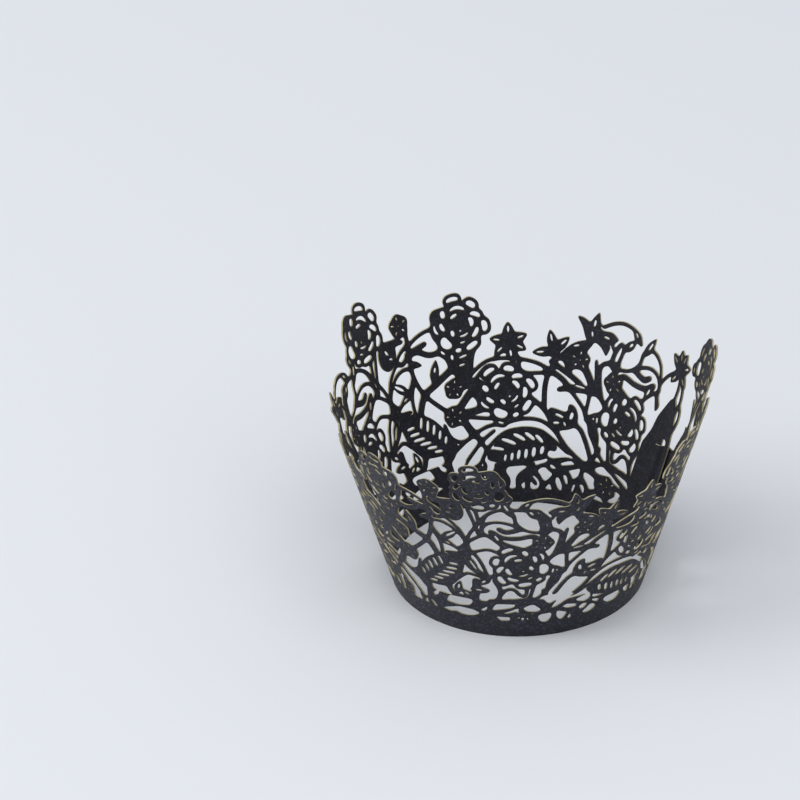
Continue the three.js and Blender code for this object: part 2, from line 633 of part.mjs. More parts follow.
// How far the card stands off the plain cone: inwards at the near end, outwards at the far end, and
// back in through the slit along the tongue
function standOff(angle, height) {
  const near = -LAP_OFFSET * (1 - smoothStep((angle - LAP_END - NEAR_REST) / LAP_EASE));
  const farAngle = angle - FULL_TURN;
  const far = LAP_OFFSET * smoothStep((farAngle - LAP_START + LAP_EASE + FAR_REST) / LAP_EASE);
  const onTongue = height > SLIT_BOTTOM * GROWTH && height < SLIT_TOP * GROWTH;
  const pass = PASS_SHARE * SLIT_WIDTH / 2 / (FOOT_DIAMETER / 2 + SIN_FLARE * height) / DEG;
  const through = onTongue ? smoothStep((farAngle - SLIT_PLACE + pass) / (2 * pass)) : 0;
  return near + far - 4 * LAP_OFFSET * through;
}

function rolled(mesh) {
  const position = [];
  const index = [];
  const count = mesh.points.length;
  const half = CARD_THICKNESS / COS_FLARE / 2;
  for (const side of [half, -half]) {
    for (const point of mesh.points) {
      const reach = point.length();
      const height = reach - FLAT_RADIUS;
      const angle = Math.atan2(point.x, point.y) / DEG / SIN_FLARE;
      const radius = reach * SIN_FLARE + standOff(angle, height) + side;
      const turn = angle * DEG;
      position.push(radius * Math.cos(turn), radius * Math.sin(turn), Math.max(0, height * COS_FLARE));
    }
  }
  const edges = new Set();
  for (const [a, b, c] of mesh.faces) {
    index.push(a, b, c, a + count, c + count, b + count);
    edges.add(`${a},${b}`).add(`${b},${c}`).add(`${c},${a}`);
  }
  for (const edge of edges) {
    const [a, b] = edge.split(",").map(Number);
    if (edges.has(`${b},${a}`)) continue;
    index.push(a, b + count, b, a, a + count, b + count);
  }
  const geometry = new THREE.BufferGeometry();
  geometry.setAttribute("position", new THREE.Float32BufferAttribute(position, 3));
  geometry.setIndex(index);
  geometry.computeVertexNormals();
  return geometry;
}

wasm = await Module();
wasm.setup();

const drawing = drawSheet();
const drawn = outlinesOf(united(drawing.solid));
const gaps = drawn.filter((loop) => -THREE.ShapeUtils.area(loop) > SMALLEST_GAP);
const thin = thinned([outerOf(drawn), ...gaps], CORNER_LIMIT, drawing.open.flat());
const flat = solidFrom(thin[0], thin.slice(1)).subtract(united(drawing.open));
const loops = outlinesOf(flat).filter((loop) => Math.abs(THREE.ShapeUtils.area(loop)) > SMALLEST_OPENING);
const outer = outerOf(loops);
const holes = loops.filter((loop) => THREE.ShapeUtils.area(loop) < 0);
const faces = THREE.ShapeUtils.triangulateShape(outer, holes);
const sheet = new SheetMesh([...outer, ...holes.flat()], faces);
sheet.flip();
sheet.split(LONGEST_EDGE);

const card = new THREE.MeshStandardMaterial({ color: 0x262630, roughness: 0.6, metalness: 0, flatShading: true });
const wrapper = new THREE.Mesh(rolled(sheet), card);
wrapper.name = "lace_wrapper";

// The origin is moved to the middle of the overall size, on the table
const size = new THREE.Box3().setFromObject(wrapper);
const middle = size.getCenter(new THREE.Vector3());
const part = new THREE.Group();
part.add(wrapper);
part.position.set(-middle.x, -middle.y, 0);

export default part;
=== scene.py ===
"""Looks of the lace cupcake wrapper: one sheet of pearlescent card, laser cut and rolled into a cone.

The openwork is drawn flat in mm, as the card is cut. Shapes are painted over each other, card or
opening, their edges are rounded as a laser rounds them, and a Geometry Nodes tree gives the flat sheet
its thickness and rolls it onto the cone.
"""

import math

import bpy
import numpy as np
from bpy.props import FloatProperty, FloatVectorProperty, PointerProperty
from mathutils import Matrix, Vector
from mathutils.geometry import delaunay_2d_cdt


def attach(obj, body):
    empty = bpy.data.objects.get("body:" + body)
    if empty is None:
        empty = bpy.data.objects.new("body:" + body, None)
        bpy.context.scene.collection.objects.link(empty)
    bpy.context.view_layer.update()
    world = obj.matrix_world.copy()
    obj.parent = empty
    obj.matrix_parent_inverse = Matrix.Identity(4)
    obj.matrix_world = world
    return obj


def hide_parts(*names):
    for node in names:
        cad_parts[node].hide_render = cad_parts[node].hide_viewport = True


bl_info = {
    "name": "Lace cupcake wrapper",
    "version": (1, 0, 0),
    "blender": (4, 5, 0),
    "location": "3D View > Sidebar > Lace wrapper",
    "description": "Makes a laser-cut card cupcake wrapper and its studio",
    "category": "Object",
}

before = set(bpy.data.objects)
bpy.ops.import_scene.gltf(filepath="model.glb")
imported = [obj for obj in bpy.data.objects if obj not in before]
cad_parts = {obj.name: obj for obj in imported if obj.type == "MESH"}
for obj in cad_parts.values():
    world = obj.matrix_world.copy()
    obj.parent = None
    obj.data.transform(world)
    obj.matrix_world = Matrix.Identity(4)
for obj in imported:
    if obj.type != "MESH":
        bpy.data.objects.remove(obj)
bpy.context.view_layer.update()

MM = 0.001

FULL_TURN = 360

# Places on the card are [angle, height]: degrees round the cone, and mm up the slant from the foot.
# The repeat of the lace is one unit, set three times round the cone. The stems of the last unit end at
# LAST_ANGLE, because no unit follows.
UNIT_ANGLE = 112
UNIT_COUNT = 3
LAST_ANGLE = 148
BAND_HEIGHT = 4.3
# Rings of card are drawn in steps of so many degrees, and reach so many mm down into what is under them
RING_STEP = 3
RING_OVERLAP = 0.5

# The lap, in degrees: the near edge, the far edge past a full turn, the span over which each end bends
# away from the cone, how far past the lap each end still stands off in full, and the end of the far band
LAP_START = 16.5
LAP_END = 26
LAP_EASE = 9
NEAR_REST = 2
FAR_REST = 3
BAND_END = LAP_END - 4

# The slit, and the share of its width over which the tongue passes through it
SLIT_PLACE = 21
SLIT_WIDTH = 1.5
SLIT_BOTTOM = 9
SLIT_TOP = 23.5
PASS_SHARE = 1.25

# The tongue: its root and how far it reaches back into the panel, in degrees, its gap to the slit's ends,
# its corners and its taper, in mm, and how many lap offsets it goes back in
TONGUE_ROOT = 14
TONGUE_OVERLAP = 6
TONGUE_SIDE_GAP = 0.6
TONGUE_CORNER = 3
TONGUE_TAPER = 1.2
TONGUE_DEPTH = 4

# Roses are drawn at this radius in mm, with a round middle, a filled place [width, height, where] and
# card of this width round each opening
ROSE_RADIUS = 6.2
ROSE_DISC = 9.4
ROSE_FILL = (3.2, 3.6, 4.4 + 2.1j)
PETAL_EDGE = 0.72

# Slits in petals: place and length as shares of the petal or radius, and width in mm
FLOWER_SLIT = (0.62, 0.42, 0.36)
STAR_SLIT = (0.6, 0.4, 0.4)
# Slit in a leaf: place as a share of its length, and width as a share of its width
LEAF_SLIT = (0.55, 0.26)
# Petals of a small flower, the depth between them as a share of its radius, and its eye in mm
FLOWER_PETALS = 5
FLOWER_SCALLOP = 0.2
FLOWER_EYE = 0.4
# Disc in the middle of a star flower, as a share of the petals' width
STAR_DISC = 1.2

# Openings under this area, in square mm, aren't cut, and only loops over this length get rounder corners
SMALLEST_OPENING = 0.06
LONG_LOOP = 8

# Colours of the card: [name, title, description, colour]
CARD_COLOURS = (
    ("coat_dark", "Coat, dark", "Coated face where the coat is thin", "#121219"),
    ("coat_light", "Coat, light", "Coated face where the coat is thick", "#1a1a24"),
    ("flake", "Mica flake", "The brightest flakes of the coat", "#333345"),
    # The inner face is the same card as the outer one; its colours are a little darker, as painted shade of
    # the inside of the cup.
    ("inner_dark", "Inner face, dark", "Inner face where the coat is thin", "#101015"),
    ("inner_light", "Inner face, light", "Inner face where the coat is thick", "#1a1a22"),
    ("inner_flake", "Inner mica flake", "The brightest flakes inside", "#2c2c3a"),
    ("edge_dark", "Cut edge, dark", "Cut edge where the beam was slow", "#857c60"),
    ("edge_light", "Cut edge, light", "Cut edge where the beam was fast", "#b3ab8d"),
)
COAT_ROUGHNESS = 0.55
INNER_ROUGHNESS = 0.5

# The studio, in metres: half the floor's side, how far it lies under the foot, and each light's size and
# place from the middle of the foot
FLOOR_HALF = 6
FLOOR_DROP = 0.01 * MM
KEY_LIGHT = (0.9, (-1.25, -0.1, 0.75))
FILL_LIGHT = (1.4, (0.35, -0.75, 1.3))
SKY_COLOUR = "#eef2f8"

# Sizes that the roll takes, in metres and radians
ROLL_SIZES = (
    "Card thickness",
    "Foot radius",
    "Flare",
    "Lap offset",
    "Near end from",
    "Near end to",
    "Far end from",
    "Far end to",
    "Slit place",
    "Slit half width",
    "Slit bottom",
    "Slit top",
    "Axis X",
    "Axis Y",
)

# Steps of the roll, from a point on the flat card to its place on the cone
ROLL_STEPS = (
    # reach from the middle of the flat fan becomes height, and turn in the fan becomes angle
    ("sine", "SINE", "Flare"),
    ("cosine", "COSINE", "Flare"),
    ("cone radius", "MULTIPLY", "reach", "sine"),
    ("climb", "SUBTRACT", "cone radius", "Foot radius"),
    ("slant", "DIVIDE", "climb", "sine"),
    ("height", "MULTIPLY", "slant", "cosine"),
    ("fan turn", "ARCTAN2", "across", "along"),
    ("angle", "DIVIDE", "fan turn", "sine"),
    # the near end stands off inwards, and the far end outwards
    ("inwards", "MULTIPLY", "Lap offset", -1.0),
    ("near", "SMOOTHSTEP", "angle", "Near end from", "Near end to", "inwards", 0.0),
    ("far", "SMOOTHSTEP", "angle", "Far end from", "Far end to", 0.0, "Lap offset"),
    # the tongue goes back in where it passes the slit
    ("half pass", "DIVIDE", "Slit half width", "cone radius"),
    ("before", "SUBTRACT", "Slit place", "half pass"),
    ("after", "ADD", "Slit place", "half pass"),
    ("over", "GREATER_THAN", "slant", "Slit bottom"),
    ("under", "LESS_THAN", "slant", "Slit top"),
    ("on tongue", "MULTIPLY", "over", "under"),
    ("back", "MULTIPLY", "inwards", TONGUE_DEPTH),
    ("depth", "MULTIPLY", "back", "on tongue"),
    ("through", "SMOOTHSTEP", "angle", "before", "after", 0.0, "depth"),
    ("ends", "ADD", "near", "far"),
    ("stand", "ADD", "ends", "through"),
    # the card's own thickness, measured level so that the rim stays flat
    ("half card", "MULTIPLY", "Card thickness", 0.5),
    ("layer", "SUBTRACT", "up", "half card"),
    ("level layer", "DIVIDE", "layer", "cosine"),
    ("middle", "ADD", "cone radius", "stand"),
    ("radius", "ADD", "middle", "level layer"),
    ("to x", "COSINE", "angle"),
    ("to y", "SINE", "angle"),
    ("x", "MULTIPLY_ADD", "radius", "to x", "Axis X"),
    ("y", "MULTIPLY_ADD", "radius", "to y", "Axis Y"),
    ("z", "MAXIMUM", "height", 0.0),
)

# Points of the frame's mesh this low, in metres, are its rim, and those further off its circle than the
# spread are the lap
RIM_HEIGHT = 0.01 * MM
RIM_SPREAD = 0.2 * MM

# The camera, in mm from the middle of the foot, and its roll in degrees
CAMERA_TARGET = (-23.03, 65.03, 0)
CAMERA_PLACE = (-23.0, -1362.2, 863.3)
CAMERA_ROLL = -0.77

# Stems: each is a curve through places [angle, height], and a number first is its own width
STEMS = [
    # long stems that rise from the band
    [[40, 7.6], [47, 9.6], [54, 12], [58, 14.8], [61, 18], [64.3, 21], [70, 24.2]],
    [1.0, [53, 4], [55.5, 8.2], [58, 11], [61.2, 14.2], [64.5, 16.6], [69, 17.4]],
    [1.0, [56, 8.6], [64, 10.4], [70, 12.6], [75, 16], [79, 19.4], [86, 22.4]],
    [[33, 9.4], [39, 10.6], [45, 10.9], [50, 11.1], [56, 9.6], [62, 8.8], [69, 7.6], [75, 6.9], [80, 4]],
    [[30, 6.6], [36, 7.4], [42, 8.6], [50, 10.6]],
    [[58, 9.4], [66, 9.2], [74, 8.6], [80, 7.6], [86, 8.4], [90, 8.6]],
    # arch over the fern leaf, in two strokes, and its run down to the right
    [[68, 11.6], [74, 15], [80, 17], [87, 17.2], [94, 16.4], [101, 15.9], [108, 14.2], [116, 11.6],
     [123, 9]],
    [[68, 11], [74, 13], [80, 14.9], [87, 15.2], [94, 14.4], [100, 12], [104, 9], [107, 4]],
    [[98, 15], [103, 13.2], [107, 11.2], [112, 8.4], [116, 4]],
    [[101, 10.6], [104.5, 13.4], [108, 15.2], [111, 18.4]],
    [[104, 13.6], [108, 16.8], [110, 19]],
    [[94, 17.4], [100, 17.6], [106, 18.2], [113, 19.2]],
    [[108, 14], [112, 13.6], [116, 15], [118, 18]],
    [1.6, [101, 20], [106, 19.4], [112, 19.4]],
    [2.0, [103, 25], [107, 25.4], [112, 24.6]],
    [1.6, [104, 24.6], [108, 22.4], [112, 20]],
    # stems round the small flower, the pennant leaf and the tulip bud
    [[62, 25], [62.4, 22], [63, 19.4]],
    [1.6, [60.6, 24.6], [63.4, 27.6], [67, 30.4]],
    [1.1, [58, 24.6], [62, 24.4], [67, 24.9], [74, 23.8]],
    [1.2, [66, 25.6], [70.6, 27.2], [77.4, 29.4]],
    [1.2, [70, 24.4], [73.6, 26.3], [79, 27.8]],
    [1.1, [76.4, 31.6], [76, 29], [78, 27], [79.1, 24], [79, 20]],
    [1.4, [70, 29], [71.8, 27.6]],
    # outer arches on top of rose C, to the foot of rose A
    [[77, 27.4], [81, 28.6], [86, 29.4], [93, 29.8], [99, 29.6], [104, 27.8], [108, 25.6]],
    [[77, 27.2], [82, 26.8], [87, 26.9], [91, 29.6]],
    [[89, 25.6], [88.6, 29.4], [92, 33.2]],
    [[97, 28.4], [99.6, 28.4], [103, 26.6], [105, 25]],
    [[92, 33.2], [95, 31], [97, 29.6]],
    # hook vine between rose A and the tall stem
    [[114, 37], [118, 38], [122, 37.6], [125, 36.8], [128, 35.8]],
    [1.2, [113, 34.6], [116.4, 33], [120, 33], [124, 34.4], [128, 34.2]],
    [1.2, [120.6, 35.5], [124, 35], [128, 34.6]],
    [1.4, [113, 34.6], [116, 35.6], [117, 37.4]],
    # tall stem and its branches
    [0.95, [131, 41.4], [127.4, 39.6], [127, 36], [127.4, 32], [126.8, 29], [124.4, 25.6], [120, 22.6],
     [113, 19]],
    [1.5, [112, 29], [116, 27.6], [119, 26.6], [124, 25.2], [126.6, 22.6], [128, 20.4]],
    [[126.8, 29], [129, 26.4], [129.6, 24], [129, 20.6]],
    [[127.2, 29.6], [131, 26.4], [135, 25], [138, 23.4], [141, 20], [146, 17]],
    [[127.2, 31.4], [131, 31.9], [135, 30.8], [138, 28.6], [140, 25.4], [139.6, 23]],
    [[127, 36.6], [131, 35.2], [134, 33], [137, 31], [139, 28]],
    [1.0, [129, 37.6], [133, 37.6], [136, 36]],
    [[126.4, 39.4], [131, 38.4], [135, 38.6], [139, 39]],
    [1.1, [128, 34], [130.6, 33], [132.6, 33.8]],
    # bundle that climbs to rose B and to the next unit
    [[136, 24.6], [141, 27.8], [146, 29.8], [150, 28.6], [154, 27.2], [158, 26.4]],
    [[138, 23.6], [140.4, 29], [143.6, 32.4], [147, 35.8], [151, 37.4], [155, 37.6], [160, 37.4],
     [163.6, 37.2], [165, 35], [166, 31.4]],
    [[140, 40], [141.6, 36], [143, 32.6], [143.8, 30]],
    [[142, 42], [143.6, 37], [144.4, 33.4]],
    [[131, 23], [137, 23.6], [142, 24.6], [147, 25.6], [152, 24]],
    [[137, 25.2], [141.6, 23.8], [144, 21], [146, 17]],
    [[136.6, 22.6], [139.6, 19.4], [146, 17]],
    [[134, 15.8], [138, 17.8], [142, 17.4], [146, 17.2], [150, 19]],
    # arcs with small leaves, left of the lily
    [[33, 30.4], [33.6, 33.4], [35.6, 36], [40, 37.5], [43.6, 36.2], [44.4, 33.6], [48, 31.4], [53, 30.7]],
    [[32.6, 31], [35, 33.2], [39, 33.9], [43, 33.2], [45.4, 32.2]],
    [[45.4, 37.4], [47.6, 39.4], [52.6, 40.3], [57, 39.6], [62, 37.6]],
    [[53, 36.2], [51.8, 35], [53.4, 31]],
    [1.0, [53.6, 35.6], [55, 33.6], [55.4, 31], [53, 30.2]],
    [1.3, [38.8, 31.9], [41, 31], [43.6, 31.4], [46, 32]],
    [[32.6, 30.8], [37, 28.6], [41, 26], [45, 24]],
    [1.2, [36, 31], [40, 29.4], [45, 29.2], [50, 29.8], [53, 28]],
    [1.2, [40, 25.4], [43, 25.6], [48, 25.2], [52, 26.6]],
    # hooked stem
    [1.0, [52.6, 31.6], [56.6, 31.4], [59.4, 30.2], [59.2, 27.6], [57.4, 24], [54, 21.6]],
    [[61.3, 31.2], [60.6, 28.4], [59.8, 24.6]],
    [[57, 23.4], [60, 24.6], [63, 25.2]],
    # feet under rose D
    [1.0, [36, 16.6], [38.2, 13.6], [37, 10.8], [34.6, 8.4], [31, 6]],
    [[38.2, 12.2], [40.6, 14], [43.6, 14], [45.6, 12.4], [48, 12.2], [48.4, 16]],
    [[52, 18], [50.6, 14], [49.2, 10.8]],
    [1.0, [54, 20], [58, 20.2], [61.4, 18.8]],
    [1.0, [54.6, 13.6], [57, 11], [59, 9.6]],
    # forms that stand on the band under the striped leaf
    [1.2, [117, 4], [118, 8], [119.6, 11.6]],
    [1.3, [129, 13], [130.4, 10.9], [134, 10.3], [138, 10.4]],
    [1.6, [138, 4], [139, 9], [140.4, 12.6], [141, 16]],
]

# Roses: [angle, height, radius, turn]
ROSES = [
    [45.8, 21, 6.3, 37],
    [93.8, 23, 6.2, -28],
    [108.3, 37.9, 6.2, 0],
    [145, 43.4, 6.2, 25],
]

# Small five-petalled flowers: [angle, height, radius, turn]
FLOWERS = [
    [67.2, 30.6, 2.3, 20],
    [53.4, 27.6, 2.4, 0],
    [112.2, 24.8, 2.3, 30],
    [113.4, 19.1, 2.4, 10],
    [129, 41, 2.5, 15],
    [47.6, 6.6, 2.4, 5],
    [104.6, 6.8, 2.2, 30],
]

# Star flowers and sprigs: [angle, height, directions of the petals, petal length, petal width]
STARS = [
    [91.8, 33.3, [88, 9, 318, 262, 208, 160], 4.2, 2.5],
    [76.6, 31.6, [351, 76, 133], 4.7, 2.2],
]

# Leaves: [foot angle, foot height, tip angle, tip height, width, length of the slit as a share]
LEAVES = [
    [43.4, 35.4, 39.8, 40.4, 1.9, 0.4],
    [45.6, 37.4, 49.6, 40.4, 1.9, 0.35],
    [51.6, 34.8, 47.4, 38, 2.0, 0.35],
    [119.8, 26.8, 117.4, 31.9, 2.1, 0.25],
    [128, 32.6, 122.6, 31.3, 1.5, 0],
    [130.2, 26.8, 137, 30.2, 2.0, 0.6],
    [128.6, 26.8, 135.4, 25.2, 1.7, 0.35],
    [36.2, 31.6, 39.4, 27.2, 2.0, 0.4],
    [54, 20.4, 63.6, 18.4, 2.4, 0.1],
    [60.6, 18.8, 55.4, 13.2, 2.4, 0],
    [138.4, 23.2, 142.6, 18.4, 1.7, 0.6],
    [146.6, 13.4, 137.6, 13.2, 1.9, 0.35],
    [147, 17.4, 141.4, 14.6, 1.9, 0.35],
    [132, 11, 134.6, 15.2, 1.8, 0.4],
    [139.6, 10.6, 134, 12.6, 2.0, 0.4],
    [119.6, 10.2, 114.8, 12.4, 2.0, 0],
]

# The low row of card that stands on the band: [first angle, last angle, height]
LOW_ROW = [
    [33, 57, 10.9],
    [56, 76.4, 10.1],
    [76, 99, 8.3],
    [98, 121, 6.9],
    [119, 145.4, 10.1],
]

# Openings in the low row that stands on the band, each as places [angle, height] round it
LOW_HOLES = [
    [[35.6, 5.8], [41.6, 5.8], [41.4, 4.7], [37.4, 4.7]],
    [[34, 7.6], [36, 9.6], [44.2, 9.7], [43.4, 8.8], [38, 7.9]],
    [[38.4, 7], [41.6, 7.5], [44.4, 8.5], [46, 8.3], [43, 7.2], [40, 6.7]],
    [[46.2, 4.8], [47.4, 4.8], [47.4, 5.7], [46.2, 5.7]],
    [[46.6, 8.4], [49, 9.2], [51, 9.6], [54.6, 7.8], [53, 7.2], [49, 7.4]],
    [[53, 6], [54, 6.4], [58.8, 6.7], [59, 5.4], [57.5, 4], [55, 4], [53.6, 4.8]],
    [[54.6, 12], [56, 10], [58, 9.2], [59.6, 10.2], [60.6, 12]],
    [[58.2, 7.8], [60.4, 8.2], [63.6, 9.4], [68, 11.4], [65, 11.6], [61.6, 10.6], [59.6, 9.4]],
    [[61, 7], [66, 6], [63.8, 4], [62, 4.4], [61, 5.6]],
    [[66, 4.4], [67.4, 5.4], [68, 4.3], [67, 3.9]],
    [[63.2, 7.9], [65, 8.5], [69.6, 7.9], [69.4, 7.1], [65, 7.3]],
    [[68.4, 9.2], [72, 9.9], [75, 10.3], [75.8, 8.7], [73, 8], [70, 8.5]],
    [[70.7, 6.8], [72.4, 7.5], [74.8, 7.2], [73.6, 6.1], [71.4, 6]],
    [[72.6, 5], [74.6, 5.6], [76, 6.7], [78, 6.5], [79.8, 5.4], [77, 4.5], [74, 4.3]],
    [[76.4, 8], [80.4, 7.4], [80, 6.6], [77.6, 7.1]],
    [[82.6, 6.4], [83.6, 7.1], [91.6, 7.1], [92.6, 6], [91, 5], [86, 4.9]],
    [[94, 7], [97.4, 7.2], [97.8, 5.2], [95.4, 5.6]],
    [[99.8, 4.9], [101.6, 4.9], [102, 7.8], [100, 8.6]],
    [[107.4, 4.9], [112.6, 4.9], [111.6, 7.4], [108.6, 9]],
    [[113.8, 5.2], [115.6, 6.6], [116.2, 4.9]],
    [[110.8, 9.6], [115.6, 8.4], [113.8, 7.4]],
    [[117.6, 6.4], [118.8, 6.6], [121, 5], [119, 4.9]],
    [[119.6, 8.8], [123, 10.2], [123.6, 9.5], [121, 8.2]],
    [[123, 5.3], [128, 6.4], [132, 7.2], [138, 7.1], [141.2, 6.3], [138, 5.3], [133, 4.9], [130, 5.5],
     [127, 5]],
    [[126.2, 7.9], [128.4, 10], [137.6, 10.2], [138.8, 9.8], [137, 8.2], [131, 7.6]],
    [[141.2, 7.3], [144.4, 8.6], [144, 7.6], [142.4, 7]],
]

# The same openings, lower, as the back wall shows them, for the repeat that stands there
BACK_HOLES = [
    [[35.6, 8.1], [37, 9.6], [45.6, 10.2], [44, 9.6], [40, 8.9]],
    [[40, 7.5], [45.4, 8], [46, 8.6], [48, 8.9], [50, 8.6], [53, 8.4], [55.6, 9.1], [53.2, 10],
     [51.4, 10.4], [49.4, 9.8], [46, 9.2], [43, 8.4], [40, 7.8]],
    [[38.8, 6.4], [43, 6.7], [42, 5.6], [43.6, 4.7], [45.6, 4.3], [45.8, 3.7], [42, 4], [40.4, 5],
     [39.6, 6]],
    [[47.6, 3.2], [49.4, 3.9], [53.4, 4.1], [54.8, 3.2]],
    [[54, 7.2], [57, 7.8], [59.8, 8.1], [60.2, 7], [57.6, 5.8], [56.4, 4.7], [53, 5.3], [54.8, 6.2]],
    [[61.6, 8.6], [64, 8], [67.4, 7.4], [65.6, 6.8], [64.8, 5.7], [62.2, 6.8]],
    [[58.4, 4.4], [59.4, 5.3], [61.4, 5.2], [60, 4.2], [59, 3.4]],
    [[63, 5], [64, 4.9], [64.8, 3.4], [64, 3.1]],
    [[64.4, 9], [66, 9.6], [68.6, 9.2], [71, 8.6], [70.4, 8.2], [67, 8.6]],
    [[66.6, 4.6], [67.2, 6.1], [68.6, 6.6], [69.2, 6.1], [67.6, 4.6]],
    [[69.2, 3.1], [69.2, 4.2], [70.8, 5.6], [71.9, 5.8], [72.6, 4.9], [71.4, 3.6], [70.2, 3]],
    [[69, 10.1], [72.4, 10.6], [76, 11.2], [77, 9.8], [74.6, 9.4]],
    [[72.2, 7.4], [74.4, 8.2], [75.6, 8.1], [74.6, 7.3]],
    [[73.6, 6.3], [76, 6.8], [77.2, 7.6], [79.4, 7.2], [80.8, 6.5], [79.4, 6], [78, 4.7], [77, 4.4],
     [75.4, 5.2]],
    [[73.6, 2.9], [74.8, 4.2], [75.4, 4], [77, 3]],
    [[78.2, 8.9], [82, 8.1], [81.8, 7.5], [78.4, 8.3]],
    [[79.2, 3.8], [80, 4.8], [82.8, 5.8], [82.6, 5.2], [80.6, 4.3], [80.1, 3.4], [81.6, 3.4], [83.4, 4.5],
     [83.6, 2.7], [80.2, 2.7]],
    [[86, 4.2], [87.6, 3.6], [87, 2.7], [85.8, 2.8]],
    [[84.8, 7.2], [85.4, 7.6], [93.6, 7.3], [94.2, 6.2], [92.2, 5], [92, 3.8], [93.2, 2.8], [89.8, 2.7],
     [90.2, 4.6], [89.4, 5.6], [87.6, 6.4]],
]
BACK_END = 98
BACK_HOLES += [places for places in LOW_HOLES if places[0][0] > BACK_END]

# Solid leaves, buds and necks with smooth edges, each as places [angle, height] round it
LEAF_PATCHES = [
    # fern leaf
    [[72.6, 11.6], [76, 13.2], [81, 14.8], [87, 15], [93, 14.3], [98, 12.4], [102, 9.4],
     [97, 8.3], [90, 7.9], [84, 8.3], [77, 9.3]],
    # striped leaf
    [[113.4, 12.2], [117, 16], [121.6, 19.4], [127, 21.6], [133, 22.8], [137.6, 23.2],
     [136.6, 18.6], [133.4, 14.8], [128.6, 12.6], [121, 11.9]],
    # leaf that carries the small flower
    [[63, 34.8], [67, 34.7], [71, 33.4], [74.4, 31.2], [76, 29.6], [73.4, 29.8], [71.6, 28],
     [69.6, 29], [67, 31]],
    # tulip bud
    [[65.4, 18.2], [66.8, 20.6], [69.8, 21.2], [70.2, 19.4], [75.6, 19.9], [77.4, 19.4], [74.6, 15.6],
     [70.6, 15.6], [67, 16.4]],
    # seed bud
    [[133.6, 38.3], [131.9, 36.6], [133.2, 34.2], [136.4, 32.9], [139.4, 34.4], [139.6, 37.4], [137, 39]],
    # neck of the topmost rose
    [[101, 35], [103.6, 31], [105.2, 26.6], [108.6, 25.6], [111.6, 27.6], [113.8, 30.4], [115, 34.4],
     [108, 36]],
]

# Solid shapes with pointed corners
POINTED_PATCHES = [
    # lily
    [[62.4, 41.3], [64.2, 39.8], [65.2, 38.6], [67, 39.4], [69.8, 39.6], [67.6, 37.6], [66, 35],
     [62, 34.8], [60, 34], [58, 32.4], [57, 34.4], [54.6, 34.2], [56, 35.4], [54, 36.6], [57, 37.8],
     [60.2, 37.6], [61.6, 39]],
    # pennant leaf
    [[59.4, 24.6], [65, 25.7], [70, 25.1], [74.4, 23.6], [68, 23.7], [62, 24]],
]

# Ends of the sheet: the near panel and its tip, and the far panel that carries the tongue
LAP_PANELS = [
    [[16.5, 4], [16.5, 22], [17.6, 26], [19.6, 30.4], [22, 32.2], [24.6, 31.6], [27, 29], [29.4, 26.4],
     [31, 23], [34.6, 19.4], [36, 12], [36, 4]],
    [[30.4, 28], [33, 30.6], [34.6, 30], [32, 26.4]],
    [[366, 4], [366, 31], [369.6, 29.4], [373.4, 24.4], [375.6, 19], [375.6, 4]],
]
# Stems and a sprig over the near panel
LAP_STEMS = [
    [[23, 31], [22.4, 34.4], [23.4, 37.4]],
    [[24, 37], [27, 36.6], [30.6, 34.6], [33.4, 32]],
    [[22, 36.6], [19.4, 34.6], [18.8, 31.6], [20.6, 29.6]],
    [[17.8, 26.6], [16.4, 29.4], [17.8, 31.6], [19.8, 31.2]],
]
LAP_SPRIG = [24.4, 38, [30, 75, 105, 150, 215, 300], 4.4, 2.3]

# Openings and slits in a rose, in mm from its middle: [x, y, length, width, turn, bend]
ROSE_CUTS = [
    [0.7, 4.95, 2.8, 0.95, -5, 0.3],
    [-3.0, 3.5, 2.3, 1.2, 40, 0.2],
    [-3.7, 1.25, 2.4, 0.95, 25, 0.3],
    [-5.25, -1.2, 2.5, 1.15, 84, 0.25],
    [-3.35, -2.2, 2.5, 0.9, -57, -0.25],
    [-2.55, 0, 2.2, 0.9, 80, 0.35],
    [-0.1, 2.6, 3.6, 0.75, 5, 0.85],
    [0.7, 1.65, 1.8, 0.7, -27, 0.1],
    [3.0, 2.45, 1.75, 1.05, 80, 0],
    [3.3, -0.1, 2.1, 0.8, 65, -0.15],
    [4.65, -0.4, 2.4, 0.5, 70, -0.35],
    [1.35, -1.8, 1.5, 0.8, 75, 0.1],
    [-0.4, -1.5, 0.6, 0.5, 0, 0],
    [-1.0, -2.3, 2.2, 0.45, -17, -0.3],
    [-0.6, -3.85, 1.4, 0.4, -8, -0.1],
    [2.7, -3.4, 3.1, 1.8, 53, -0.4],
    [-2.5, -4.85, 2.8, 1.1, -28, 0],
    [0.4, -5.4, 1.4, 0.9, 0, 0],
    [3.75, -5.3, 1.5, 0.45, 45, -0.1],
]

